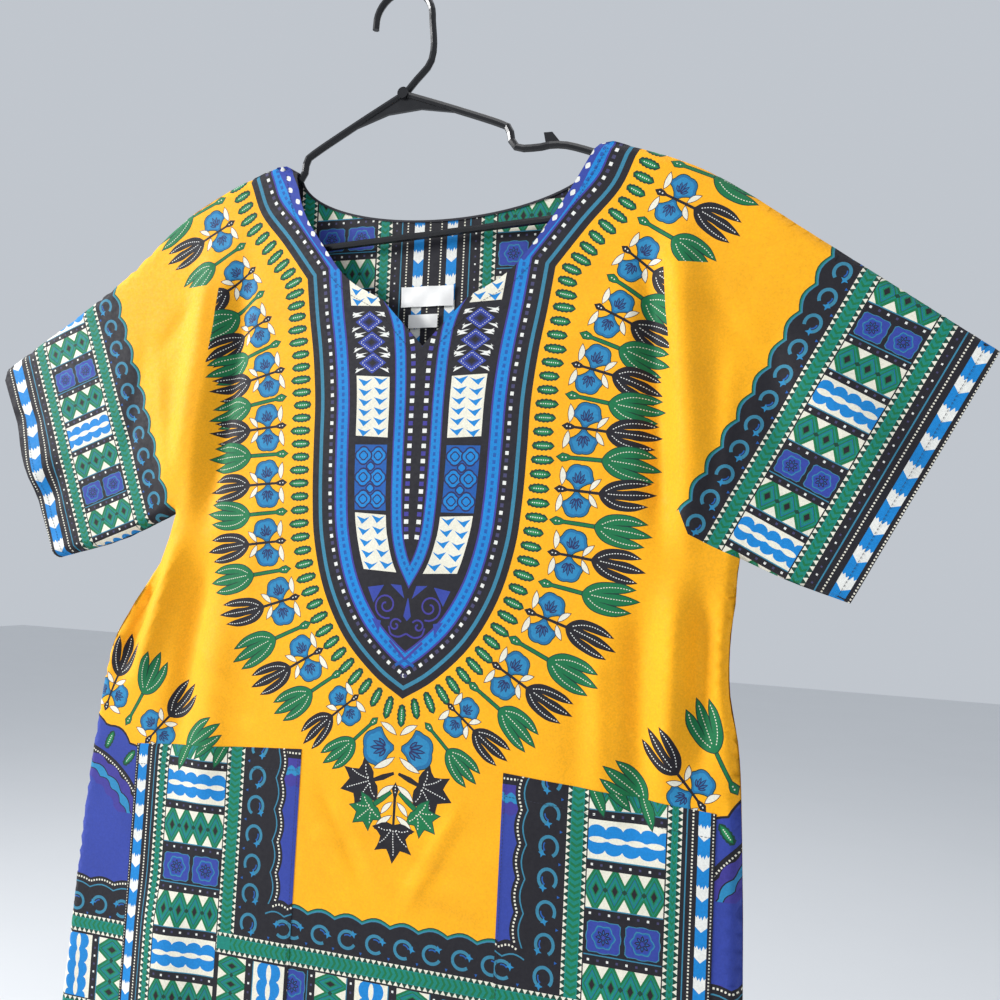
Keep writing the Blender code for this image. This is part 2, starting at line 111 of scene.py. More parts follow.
FRONT_CREASES = (
    ("left drape edge", -.194, -.205, -.230, -.505, .0090, .0034),
    ("left drape edge hollow", -.176, -.240, -.210, -.520, .0095, -.0030),
    ("right drape edge", .206, -.205, .236, -.520, .0090, .0036),
    ("right drape edge hollow", .187, -.235, .214, -.510, .0095, -.0030),
    ("left sleeve pull", -.270, -.330, -.250, -.470, .0080, .0022),
    ("left sleeve hollow", -.285, -.300, -.300, -.440, .0110, -.0020),
    ("right sleeve pull", .262, -.330, .258, -.470, .0080, .0024),
    ("right sleeve hollow", .290, -.300, .300, -.430, .0120, -.0022),
    ("right armpit pull", .250, -.440, .330, -.480, .0070, .0020),
    ("right shoulder drag", .236, -.285, .290, -.350, .0090, -.0018),
    ("left shoulder drag", -.232, -.275, -.275, -.330, .0090, -.0018),
    ("left waist drag", -.150, -.640, -.215, -.590, .0060, .0014),
    ("left waist drag low", -.140, -.660, -.190, -.640, .0050, -.0012),
    ("centre pack one", -.060, -.735, .070, -.775, .0080, -.0026),
    ("centre pack two", .060, -.700, .010, -.800, .0075, .0024),
    ("centre pack three", -.078, -.700, -.020, -.790, .0075, -.0022),
    ("centre pack four", -.010, -.770, .085, -.795, .0040, .0012),
    ("centre pack five", -.080, -.745, -.045, -.750, .0040, .0014),
    ("right hip drape", .165, -.560, .172, -.690, .0080, .0022),
    ("right hip hollow", .150, -.590, .152, -.700, .0100, -.0018),
    ("chest pull left", -.150, -.430, -.160, -.560, .0120, .0014),
    ("cuff ripple one", -.440, -.380, -.400, -.395, .0090, -.0018),
    ("cuff ripple two", -.410, -.455, -.372, -.470, .0090, -.0020),
)
BACK_FOLDS = (
    ("left drape ridge", -.205, -.215, -.236, -.475, .0150, .0080),
    ("left drape trough", -.176, -.245, -.205, -.520, .0140, -.0062),
    ("left body trough", -.230, -.520, -.256, -.720, .0140, -.0078),
    ("left body ridge", -.196, -.560, -.214, -.800, .0180, .0065),
    ("right drape ridge", .208, -.215, .240, -.470, .0150, .0080),
    ("right drape trough", .181, -.245, .206, -.510, .0140, -.0062),
    ("right body trough", .222, -.520, .226, -.740, .0130, -.0080),
    ("right body ridge", .190, -.580, .186, -.840, .0180, .0060),
    ("centre ridge", -.030, -.560, -.044, -.860, .0260, .0050),
    ("hem wave", .070, -.800, .078, -.970, .0300, .0065),
    ("left cuff wave", -.450, -.400, -.372, -.440, .0220, .0055),
)
BACK_CREASES = (
    ("left sleeve pull", -.262, -.320, -.252, -.460, .0090, .0020),
    ("right sleeve pull", .268, -.330, .262, -.470, .0090, .0020),
    ("shoulder drag left", -.130, -.235, -.180, -.330, .0120, .0018),
    ("shoulder drag right", .140, -.230, .176, -.340, .0110, .0018),
    ("waist pack one", -.090, -.640, .040, -.670, .0060, -.0015),
    ("waist pack two", .020, -.600, .100, -.700, .0060, .0014),
    ("waist pack three", -.120, -.700, -.060, -.800, .0070, .0015),
    ("seat hollow", .110, -.640, .118, -.800, .0120, -.0020),
)
POCKET_INNER, POCKET_OUTER = 0.0920, 0.2620
POCKET_TOP_INNER, POCKET_TOP_OUTER = -0.6760, -0.6880
POCKET_BOTTOM = -0.9350
POCKET_PROUD = 0.0015
LABELS = (  # name, centre x, centre z, width, height
    ("neck_label", -0.0050, -0.2760, 0.050, 0.018),
    ("care_label", -0.0080, -0.2980, 0.028, 0.012),
)

# ------------------------------------------------------------------ the print
COLOURS = {
    "yellow": (248, 172, 0), "black": (20, 18, 27), "green": (0, 108, 62),
    "leaf": (22, 128, 74), "teal": (0, 122, 108), "dark green": (4, 58, 44),
    "bright": (0, 124, 196), "deep blue": (14, 84, 160), "royal": (44, 62, 150), "violet": (58, 52, 140),
    "navy": (30, 34, 84), "blossom": (20, 104, 154), "petal": (34, 128, 176),
    "line": (48, 122, 150), "cream": (226, 222, 204), "white": (224, 224, 218),
    "umber": (74, 30, 22), "dim": (62, 60, 96),
}
NAMES = list(COLOURS)

MEDALLION_TOP = ((198, -138), (182, -165.5), (168, -197), (143, -226), (116, -260))
MEDALLION_SIDE = (
    (116, -260), (111, -295), (105, -330), (100.5, -370), (99, -413), (97, -456),
    (92.5, -495), (80, -538), (58, -577), (28, -607), (0, -625),
)
INNER_BAND = (
    (36, -278), (28.5, -291), (23, -308), (20.5, -325), (19, -342), (17.5, -376),
    (17, -420), (16, -455), (13.5, -485), (8, -506), (0, -522),
)
RING = (  # guide for the buds round the medallion: x, z, direction in degrees, size
    (209, -178, -24, 1.00), (170, -247, -40, 0.90), (134, -330, -19, 0.95),
    (125, -414, -4, 1.00), (119, -512, -9, 0.98), (85, -580, -29, 0.98), (22, -643, -44, 0.76),
)
RING_FLOWERS = 21
CORNER_CENTRE = (340, -790)
CORNER_RADIUS = 127
CORNER_UNITS = ((96, "black"), (85, "green"), (73, "black"), (61.5, "green"), (50, "black"), (38, "green"))
SLEEVE_BAND = (  # side, top x, top z, bottom x, bottom z, in millimetres
    (-1, 330, -252, 243, -478), (1, 338, -250, 226, -462),
)


ARMPIT_PATCH = {  # the body's own ground beside the end of each sleeve's border
    -1: ((236, -464), (246, -477), (258, -505), (268, -560), (208, -560), (208, -468)),
    1: ((225, -459), (233, -478), (252, -487), (274, -496), (290, -560), (211, -560), (211, -474)),
}


def path_points(points, steps=4):
    """A smooth open curve through the given points."""
    p = np.array(points, dtype=float)
    ends = np.vstack([2 * p[0] - p[1], p, 2 * p[-1] - p[-2]])
    fine = []
    for a, b, c, d in zip(ends, ends[1:], ends[2:], ends[3:]):
        for t in np.linspace(0.0, 1.0, steps, endpoint=False):
            fine.append(0.5 * (2 * b + (c - a) * t + (2 * a - 5 * b + 4 * c - d) * t ** 2
                               + (3 * b - a - 3 * c + d) * t ** 3))
    fine.append(p[-1])
    return np.array(fine)


def lengths(path):
    """Length run at each point of a path."""
    return np.concatenate([[0.0], np.cumsum(np.linalg.norm(np.diff(path, axis=0), axis=1))])


def points_at(path, at):
    """A path's rows read at given lengths along its first two columns."""
    run = lengths(path[:, :2])
    return np.column_stack([np.interp(at, run, column) for column in path.T])


def offset_path(path, distance):
    """The path moved to its right by a distance, mitred at its corners."""
    run = np.diff(path, axis=0)
    run /= np.linalg.norm(run, axis=1)[:, None]
    before = np.vstack([run[:1], run])
    after = np.vstack([run, run[-1:]])
    middle = before + after
    middle /= np.linalg.norm(middle, axis=1)[:, None]
    stretch = 1.0 / np.clip((middle * before).sum(axis=1), 0.5, 1.0)
    return path + distance * stretch[:, None] * np.column_stack((middle[:, 1], -middle[:, 0]))


def area_of(points):
    x, z = points[:, 0], points[:, 1]
    return 0.5 * float(np.sum(x * np.roll(z, -1) - np.roll(x, -1) * z))


def grown(points, distance):
    """A closed shape moved outwards by a distance."""
    p = np.asarray(points, dtype=float)
    sign = 1.0 if area_of(p) > 0 else -1.0
    loop = np.vstack([p[-1], p, p[0]])
    return offset_path(loop, sign * distance)[1:-1]


def mirrored(half, flip):
    """A closed shape from one half that ends on the mirror line."""
    half = np.asarray(half, dtype=float)
    return np.vstack([half, (half * flip)[-2::-1]])


def diamond(x, z, width, height):
    """Corners of a diamond with the given half sizes."""
    return [(x - width, z), (x, z + height), (x + width, z), (x, z - height)]


def turned(points, origin, angle, scale=1.0):
    """Local (u, v) points turned by an angle and moved to an origin."""
    p = np.asarray(points, dtype=float) * scale
    c, s = math.cos(angle), math.sin(angle)
    return np.column_stack((origin[0] + p[:, 0] * c - p[:, 1] * s,
                            origin[1] + p[:, 0] * s + p[:, 1] * c))


class Drawing:
    """Coloured shapes in millimetres, later ones on top of earlier ones."""

    def __init__(self):
        self.shapes = []
        self.side = 1.0

    def add(self, points, colour):
        p = np.array(points, dtype=float)
        p[:, 0] *= self.side
        self.shapes.append((p, NAMES.index(colour)))

    def outlined(self, points, colour, rim, edge="dark green"):
        """A shape on a slightly larger one in its edge colour."""
        self.add(grown(points, rim), edge)
        self.add(points, colour)

    def stroke(self, path, width, colour):
        p = np.asarray(path, dtype=float)
        self.add(np.vstack([offset_path(p, width / 2), offset_path(p, -width / 2)[::-1]]), colour)

    def dashes(self, path, colour, dash=1.1, gap=1.2, width=0.8, second=None):
        """Short dashes along a path, of one colour or two in turn."""
        p = np.asarray(path, dtype=float)
        total = lengths(p)[-1]
        count = int(total / (dash + gap))
        for i in range(count):
            at = (i + 0.5) * total / count
            a, b = points_at(p, [at - dash / 2, at + dash / 2])
            side = np.array((b[1] - a[1], a[0] - b[0])) * (width / 2 / max(np.linalg.norm(b - a), 1e-6))
            tint = second if second and i % 2 else colour
            self.add([a + side, b + side, b - side, a - side], tint)


# ---------------------------------------------------------------------- motifs
def leaf_shape(length, width, lean=0.0, steps=6):
    """A pointed oval from (0, 0) to (length, 0), its belly leaning sideways."""
    t = np.linspace(0.0, 1.0, steps + 1)
    half = width / 2 * np.sin(math.pi * t) ** 0.85
    middle = lean * np.sin(math.pi * t)
    upper = np.column_stack((t * length, middle + half))
    lower = np.column_stack((t * length, middle - half))
    return np.vstack([upper, lower[-2:0:-1]])


SEED_TEETH, SEED_HALF, SEED_PITCH, SEED_WINDOW = 11, 2.9, 11.7, 34


def seed(drawing, origin, angle, length=19.0):
    """A green seed with a toothed dark rim and a dotted white middle."""
    t = np.linspace(0.0, 1.0, SEED_TEETH + 1)
    rim = SEED_HALF * np.sin(math.pi * np.clip(t * 0.93 + 0.05, 0, 1)) ** 0.7
    rim[0] = rim[-1] = 0.0
    rim[1:-1] += 0.75
    rim[1:-1:2] += 0.75
    upper = np.column_stack((t * length, rim))
    lower = np.column_stack((t * length, -rim))
    drawing.add(turned(np.vstack([upper, lower[-2:0:-1]]), origin, angle), "dark green")
    for trim, width, start, steps, colour in ((2.4, 5.4, 1.3, 7, "green"), (5.0, 3.4, 2.6, 5, "leaf")):
        body = leaf_shape(length - trim, width, 0.0, steps) + (start, 0.0)
        drawing.add(turned(body, origin, angle), colour)
    line = turned([(4.2, 0.0), (length - 4.6, 0.0)], origin, angle)
    drawing.dashes(line, "white", 0.9, 0.8, 0.9)


TULIP_HALF = (
    ((38.0, 1.1), (41.5, 6.2), (48.0, 10.6), (58.0, 12.6), (69.0, 12.4), (79.0, 9.0)),
    ((79.0, 9.0), (71.0, 6.4), (62.0, 5.0), (56.0, 4.2), (52.0, 3.7)),
    ((52.0, 3.7), (58.0, 3.7), (67.0, 4.2), (76.0, 2.6), (84.0, 0.0)),
)
OUTER_VEIN = ((43.0, 2.4), (49.5, 6.4), (58.0, 9.0), (68.0, 9.6), (76.0, 8.6))
MIDDLE_VEIN = ((45.0, 0.5), (56.0, 0.3), (68.0, 0.3), (79.0, 0.1))


def bent(points, bend, spread):
    """Flower points with the lobes bent sideways and spread apart."""
    p = np.array(points, dtype=float)
    out = np.clip((p[:, 0] - 38.0) / 45.0, 0.0, 1.2)
    p[:, 1] = p[:, 1] * (1.0 + 0.6 * spread * out) + 13.0 * bend * out ** 2
    return p


VEIN = {"black": "white", "green": "cream"}
TULIP_TIP = (84.0, 0.0)


def flower_part(drawing, shape, kind, rim):
    """A green part has a dark rim, and a black one has none."""
    if kind == "green":
        drawing.outlined(shape, kind, rim)
    else:
        drawing.add(shape, kind)


def tulip(drawing, origin, angle, scale, kind, bend, spread):
    """A three-lobed flower head on its unit's axis."""
    def placed(points):
        return turned(bent(points, bend, spread), origin, angle, scale)

    half = np.vstack([path_points(part, 3)[:-1] for part in TULIP_HALF] + [[TULIP_TIP]])
    flower_part(drawing, placed(mirrored(half, (1, -1))), kind, 0.8)
    outer, middle = path_points(OUTER_VEIN, 2), path_points(MIDDLE_VEIN, 2)
    for vein in (outer * (1, -1), outer, middle):
        drawing.dashes(placed(vein), VEIN[kind], 1.2, 1.0, 0.7)


BLOSSOM_STEPS = 22


def blossom(drawing, origin, angle, scale=1.0):
    """A blue fan blossom that opens away from its origin."""
    neck = [(0.0, 1.3), (3.6, 4.2), (6.5, 8.2)]
    points = [(x, -z) for x, z in neck]
    for i in range(BLOSSOM_STEPS + 1):
        turn = math.radians(-100 + 200 * i / BLOSSOM_STEPS)
        reach = 11.6 + 1.5 * abs(math.sin(turn * 2.6))
        points.append((10.5 + reach * math.cos(turn) * 0.90, reach * math.sin(turn)))
    points += neck[::-1]
    drawing.outlined(turned(points, origin, angle, scale), "blossom", 0.8)
    drawing.add(turned(np.array(points) * 0.80 + (2.2, 0.0), origin, angle, scale), "petal")
    for degrees, reach in ((-44, 12.5), (-22, 15.0), (0, 16.5), (22, 15.0), (44, 12.5)):
        a = math.radians(degrees)
        for trim, width, steps, out, colour in ((5.0, 3.1, 4, 1.5, "navy"), (8.0, 1.3, 3, 3.2, "blossom")):
            heart = (4.0 + out * math.cos(a), out * math.sin(a))
            loop = turned(leaf_shape(reach - trim, width, 0.0, steps), heart, a)
            drawing.add(turned(loop, origin, angle, scale), colour)


def cream_leaf(drawing, origin, angle, length=14.0, width=4.6, lean=0.8):
    drawing.outlined(turned(leaf_shape(length, width, lean), origin, angle), "cream", 0.55, "umber")


def bud_and_stem(drawing, origin, angle, scale, kind, reach=40.0):
    body = [(0, 0), (4.4, 3.2), (8.2, 2.5), (11.5, 1.1), (24, 1.3), (reach, 1.2),
            (reach, -1.2), (24, -1.1), (11.5, -1.1), (8.2, -2.5), (4.4, -3.2)]
    flower_part(drawing, turned(body, origin, angle, scale), kind, 0.7)
    line = turned([(3.2, 0.0), (9.0, 0.0)], origin, angle, scale)
    drawing.dashes(line, VEIN[kind], 1.1, 0.9, 1.0)


def flower_unit(drawing, origin, degrees, scale, kind, bend=0.0, spread=0.0):
    """A bud, its stem and tulip; a black one also carries blossoms and leaves."""
    angle = math.radians(degrees)
    if kind == "black":
        for sign in (-1, 1):
            at = turned([(19.5, 1.0 * sign)], origin, angle, scale)[0]
            blossom(drawing, at, angle + sign * math.radians(84 + 6 * bend * sign), 0.94 * scale)
    bud_and_stem(drawing, origin, angle, scale, kind)
    tulip(drawing, origin, angle, scale, kind, bend, spread)
    if kind == "black":
        for sign in (-1, 1):
            at = turned([(6.5, 3.8 * sign)], origin, angle, scale)[0]
            cream_leaf(drawing, at, angle + sign * math.radians(97), 14.5 * scale, 4.8, sign * -0.8)
            at = turned([(30.5, 1.6 * sign)], origin, angle, scale)[0]
            cream_leaf(drawing, at, angle + sign * math.radians(52), 12.5 * scale, 4.2, sign * 0.8)


def five_lobed(drawing, origin, degrees, scale, kind):
    """A short five-pointed flower head."""
    angle = math.radians(degrees)
    half = [(0.0, 1.2), (-1.5, 6.0), (-0.5, 11.0), (1.5, 15.0), (3.5, 20.0), (7.0, 15.0), (11.0, 12.0),
            (17.0, 14.0), (24.0, 17.5), (22.5, 11.0), (22.0, 6.5), (26.0, 4.0), (33.0, 0.0)]
    flower_part(drawing, turned(mirrored(half, (1, -1)), origin, angle, scale), kind, 0.7)
    for end in ((27.0, 0.0), (17.5, 13.5), (17.5, -13.5), (3.5, 14.5), (3.5, -14.5)):
        start = (4.5, end[1] * 0.12)
        line = path_points([start, ((start[0] + end[0]) / 2 + 1.5, end[1] * 0.55), end], 3)
        drawing.dashes(turned(line, origin, angle, scale), VEIN[kind], 1.2, 1.0, 0.8)


def spray_half(drawing, centre, sign):
    """One side of the spray, with directions given for the right side."""
    def at(x, z):
        return (centre + sign * x, z)

    def lean(degrees):
        return degrees if sign > 0 else 180 - degrees

    def leaf(place, degrees, length, width, belly):
        cream_leaf(drawing, at(*place), math.radians(lean(degrees)), length, width, sign * belly)

    leaf((2, -655), 32, 17, 5.0, 0.8)
    blossom(drawing, at(4, -666), math.radians(lean(-4)), 1.28)
    leaf((2.5, -674), -30, 21, 5.0, -0.8)
    stem = [(0, 1.2), (11, 2.6), (22, 1.4), (22, -1.4), (11, -2.2), (0, -1.2)]
    drawing.add(turned(stem, at(2, -687), math.radians(lean(-22))), "black")
    five_lobed(drawing, at(20, -694), lean(-20), 1.0, "black")
    leaf((1.5, -697), -38, 19, 4.8, 0.8)
    stem = [(0, 1.0), (9, 1.8), (20, 1.6), (20, -1.6), (9, -1.8), (0, -1.0)]
    drawing.outlined(turned(stem, at(4, -703), math.radians(lean(-38))), "green", 0.6)
    five_lobed(drawing, at(19, -715), lean(-42), 0.74, "green")
    leaf((2.5, -711), -47, 14, 4.2, 0.6)
    leaf((2.5, -722), -40, 19, 4.8, 0.8)


def bottom_spray(drawing):
    """The stacked blossoms and flowers under the medallion's tip."""
    centre = -2.0
    for sign in (-1, 1):
        spray_half(drawing, centre, sign)
    drawing.add([(centre, -694), (centre + 3.2, -700), (centre + 1.3, -707), (centre + 1.1, -733),
                 (centre - 1.1, -733), (centre - 1.3, -707), (centre - 3.2, -700)], "black")
    five_lobed(drawing, (centre, -729), -90, 0.98, "black")
    for z in (-697.5, -700, -702.5):
        drawing.dashes([(centre, z + 0.6), (centre, z - 0.6)], "white", 1.0, 0.1, 0.9)


# ------------------------------------------------------------------- medallion
def medallion_path():
    half = np.vstack([path_points(MEDALLION_TOP, 5)[:-1], path_points(MEDALLION_SIDE, 5)])
    return mirrored(half, (-1, 1))


def half_widths(path, inset, heights):
    """Half width of the medallion at the given heights, a distance in."""
    inner = offset_path(path, inset)
    right = inner[: len(inner) // 2 + 1][::-1]
    return np.interp(heights, right[:, 1], right[:, 0])


def panel_shape(left, right, top, bottom, slant=0.0):
    """Outline of a panel between two lines that give x at each height."""
    z = np.linspace(top, bottom, 7)
    a, b = left(z), right(z)
    return np.vstack([np.column_stack((a, z + slant * a)), np.column_stack((b, z + slant * b))[::-1]])


def chevron_panel(drawing, left, right, top, bottom, rows):
    """A white panel with two columns of notched teal birds."""
    slant = 0.05
    drawing.add(panel_shape(left, right, top, bottom, slant), "cream")
    for row in range(rows):
        at = top + (bottom - top) * (row + 0.5) / rows
        a, b = left(at), right(at)
        half = (b - a) / 4 - 1.0
        for column in (0.26, 0.74):
            x = a + (b - a) * column
            z0 = at + slant * x + (1.2 if column < 0.5 else -0.6)
            drawing.add([(x - half, z0 + 2.6), (x - 0.2 * half, z0 + 0.4), (x + half, z0 + 2.8),
                         (x + 0.55 * half, z0 - 0.6), (x + 0.15 * half, z0 - 4.2),
                         (x - 0.5 * half, z0 - 0.6)], "bright")


def diamond_panel(drawing, left, right, top, bottom):
    """White zigzags at both sides of three dotted royal-blue diamonds."""
    rows = 3
    step = (top - bottom) / rows
    for row in range(rows):
        at = top - (row + 0.5) * step
        a, b = left(at), right(at)
        x, half = (a + b) / 2, (b - a) / 2
        for sign in (-1, 1):
            edge = x + sign * half
            for shift in (0.27, -0.27):
                tip = at + shift * step
                drawing.add([(edge, tip + 4.2 * np.sign(shift)), (edge - sign * 9.5, tip + 0.7),
                             (edge, tip - 1.0), (edge - sign * 2.5, tip + 1.0)], "white")
            drawing.add([(edge, at + 0.30 * step), (edge - sign * 11.5, at + 0.5 * step),
                         (edge, at + 0.42 * step)], "white")
        w, h = half * 0.80, step * 0.52
        drawing.add(diamond(x, at, w, h), "royal")
        dotted = diamond(x, at, w * 0.78, h * 0.78)
        for ends in zip(dotted, dotted[1:] + dotted[:1]):
            drawing.dashes(ends, "white", 0.8, 1.1, 0.6)
        drawing.add(diamond(x, at, w * 0.5, h * 0.5), "navy")
        drawing.add(diamond(x, at, w * 0.28, h * 0.3), "black")


def cloud(drawing, x, z, size, colour, steps=28):
    """A four-lobed cloud."""
    points = []
    for i in range(steps):
        turn = 2 * math.pi * i / steps
        reach = size * (0.78 + 0.24 * abs(math.cos(2 * turn)) ** 0.6)
        points.append((x + reach * math.cos(turn), z + reach * math.sin(turn)))
    drawing.add(points, colour)


def cloud_panel(drawing, left, right, top, bottom):
    """Two columns of ringed clouds with small ones between them."""
    drawing.add(panel_shape(left, right, top, bottom), "deep blue")
    rows = 3
    for row in range(rows):
        at = top - (top - bottom) * (row + 0.5) / rows
        a, b = left(at), right(at)
        for column in (0.27, 0.73):
            for size, colour in ((8.4, "navy"), (6.9, "bright"), (4.4, "navy"), (3.2, "bright")):
                cloud(drawing, a + (b - a) * column, at, size, colour)
    for row in range(1, rows):
        at = top - (top - bottom) * row / rows
        for size, colour in ((4.4, "navy"), (3.0, "bright")):
            cloud(drawing, (left(at) + right(at)) / 2, at, size, colour)


def spiral(centre, start, turns, radius, sign):
    """A spiral that winds in from a radius, with a start in degrees."""
    points = []
    steps = int(18 * turns)
    for i in range(steps + 1):
        t = i / steps
        angle = math.radians(start) + sign * 2 * math.pi * turns * t
        reach = radius * (1 - 0.82 * t)
        points.append((centre[0] + reach * math.cos(angle), centre[1] + reach * math.sin(angle)))
    return np.array(points)


SCROLLS = (((20.0, -547.5), -110, 1.55, 11.5, 1), ((10.5, -564.0), 150, 1.15, 6.0, -1))
SCROLL_FOOT = ((16.5, -565), (14, -571.5), (7, -573.5), (0, -570.5))
SCROLL_WIDTH = 1.5
SHIELD_FILLERS = (((38, -533), (23, -530.5), (32, -546)), ((17, -529.5), (7, -530), (3.5, -541)),
                  ((33, -559), (24, -561), (25.5, -571)))


def shield(drawing):
    """Thin scrolls in pairs on the black tip of the medallion."""
    scrolls = [spiral(*row) for row in SCROLLS] + [path_points(SCROLL_FOOT, 4)]
    for mirror in ((-1, 1), (1, 1)):
        for scroll in scrolls[:-1]:
            drawing.stroke(scroll * mirror, SCROLL_WIDTH, "violet")
        for filler in SHIELD_FILLERS:
            drawing.add(np.array(filler) * mirror, "royal")
        drawing.stroke(scrolls[-1] * mirror, SCROLL_WIDTH, "violet")
        drawing.stroke(np.array([(15.0, -577.0), (0.0, -592.0)]) * mirror, 2.2, "violet")
    drawing.add([(0, -539), (3.4, -556), (0, -560), (-3.4, -556)], "royal")


MEDALLION_BANDS = ((0, "black"), (6, "line"), (9.3, "black"), (21.6, "violet"), (23.2, "bright"),
                   (32.6, "violet"), (34.2, "black"))
NECK_BAND = ((158, -140), (142, -166), (129, -192), (108, -222), (84, -250))
PLACKET_DOTS = ((13.5, -304), (10, -318), (7.6, -334), (6.7, -360), (6.6, -420), (6.0, -470),
                (4.6, -492))


def shoulder_ovals(drawing, sign):
    """Royal blue with white ovals, staggered, beside the neck."""
    line = path_points([(sign * x, z) for x, z in NECK_BAND], 4)
    drawing.stroke(line, 11.0, "royal")
    total = lengths(line)[-1]
    for i, t in enumerate(np.linspace(0.03, 0.97, 11)):
        x, z = points_at(line, [t * total])[0]
        push = sign * (2.4 if i % 2 else -0.6)
        origin = (x - 3.2 * math.cos(1.0) * sign + push, z - 2.6)
        drawing.add(turned(leaf_shape(6.4, 4.2, 0.0, 6), origin, math.radians(90 - 36 * sign)), "white")


def medallion(drawing):
    """The shield-shaped neck print with its bands, panels and placket."""
    path = medallion_path()
    for inset, colour in MEDALLION_BANDS:
        drawing.add(offset_path(path, inset), colour)
    drawing.dashes(offset_path(path, 17.2), "white", 3.2, 3.0, 3.0, second="dim")
    drawing.dashes(offset_path(path, 27.9), "deep blue", 3.4, 2.4, 2.6)
    for sign in (-1, 1):
        shoulder_ovals(drawing, sign)

    band = np.array(INNER_BAND, dtype=float)[::-1]

    def outer(z):
        return half_widths(path, 41, z)

    def inner(z):
        return np.interp(z, band[:, 1], band[:, 0]) + 10.5

    for side in (-1, 1):
        drawing.side = side
        chevron_panel(drawing, inner, outer, -262, -289.5, 3)
        diamond_panel(drawing, inner, outer, -292, -347)
        chevron_panel(drawing, inner, outer, -352, -405, 6)
        cloud_panel(drawing, inner, outer, -410, -467)
        chevron_panel(drawing, inner, outer, -472, -520, 5)
    drawing.side = 1.0
    shield(drawing)
    placket(drawing)


def placket(drawing):
    """The narrow blue U round the slit and its two rows of dots."""
    whole = mirrored(path_points(INNER_BAND, 4), (-1, 1))
    drawing.add(offset_path(whole, -9.5), "black")
    drawing.stroke(whole, 10.6, "violet")
    drawing.stroke(whole, 8.2, "bright")
    drawing.add(offset_path(whole, 5.3), "black")
    drawing.dashes(offset_path(whole, 0.4), "deep blue", 3.0, 2.6, 2.2)
    for side in (-1, 1):
        line = path_points([(side * x, z) for x, z in PLACKET_DOTS], 4)
        drawing.dashes(line, "white", 3.7, 2.6, 4.0, second="violet")
    drawing.add([(-4.5, -300), (4.5, -300), (0, -325)], "royal")


def seeds(drawing):
    """The ring of seeds round the medallion."""
    path = offset_path(medallion_path(), -3.6)
    total = lengths(path)[-1]
    count = int(total / 2 / SEED_PITCH)
    for i in range(-count, count + 1):
        at = total / 2 + i * SEED_PITCH
        a, b = points_at(path, np.clip([at - SEED_WINDOW, at + SEED_WINDOW], 0, total))
        angle = math.atan2(b[0] - a[0], a[1] - b[1]) if i else math.radians(-90)
        seed(drawing, points_at(path, [at])[0], angle, 19.5 + 1.2 * math.sin(1.7 * i))


def evenly(rows, count):
    """Rows of numbers read at even steps along the path of their first two."""
    rows = np.array(rows, dtype=float)
    return points_at(rows, np.linspace(0.0, lengths(rows[:, :2])[-1], count))


def flower_ring(drawing):
    """Alternating black and green flowers round the medallion, both sides."""
    for side in (1, -1):
        drawing.side = side
        for i, (x, z, degrees, scale) in enumerate(evenly(RING, RING_FLOWERS)):
            kind = ("green", "black")[i % 2]
            bend = 0.35 * math.sin(2.3 * i + side) - (0.25 if i < 7 else 0.0)
            spread = 0.10 + 0.10 * math.cos(1.9 * i) + (0.25 if i > 17 else 0.0)
            flower_unit(drawing, (x, z), degrees, scale, kind, bend, spread)
        drawing.add([(206, -263), (209, -300), (214, -336), (222, -386), (262, -386), (262, -263)], "yellow")
    drawing.side = 1.0


def corner_clusters(drawing, side):
    """Flowers fanned round a scalloped blue quarter circle at the side."""
    drawing.side = side
    cx, cz = CORNER_CENTRE

    def on_circle(radius, degrees):
        a = math.radians(degrees)
        return (cx - radius * math.cos(a), cz + radius * math.sin(a))

    def ring(radius, colour, bumps=0, depth=0.0, rise=120):
        points = []
        for i in range(73):
            degrees = -30 + (rise + 30) * i / 72
            wave = depth * abs(math.sin(math.radians(degrees) * bumps / 2)) if bumps else 0.0
            points.append(on_circle(radius + wave, degrees))
        points.append((cx + 60, cz + radius))
        points.append((cx + 60, cz - 60))
        drawing.add(points, colour)
    ring(CORNER_RADIUS - 3.5, "black", 26, 5.0)
    ring(CORNER_RADIUS - 5.5, "royal", 26, 5.0)
    for i in range(8):
        degrees = 10 + 13.8 * i
        at = on_circle(CORNER_RADIUS - 24, degrees)
        angle = math.atan2(at[1] - cz, at[0] - cx)
        seed(drawing, at, angle, 19.0)
    ring(100.5, "black")
    line = [on_circle(96.5, d) for d in np.linspace(-25, 118, 60)]
    drawing.dashes(line, "cream", 1.3, 1.5, 1.5)
    ring(92.5, "violet", 30, 3.0)
    ring(85.0, "black", 26, 3.0)
    ring(84.0, "petal", 26, 3.0)
    ring(78.0, "black", 30, 3.5)
    ring(77.2, "violet", 30, 3.5)
    ring(70.0, "royal", 30, 3.0)
    for degrees, kind in CORNER_UNITS:
        origin = on_circle(CORNER_RADIUS + 6.5, degrees)
        a = math.degrees(math.atan2(origin[1] - cz, origin[0] - cx))
        flower_unit(drawing, origin, a, 0.90, kind, 0.30 * math.sin(degrees), 0.30)
    drawing.side = 1.0


# --------------------------------------------------------------------- borders
RIGHT, LEFT, DOWN = (1.0, 0.0), (-1.0, 0.0), (0.0, -1.0)


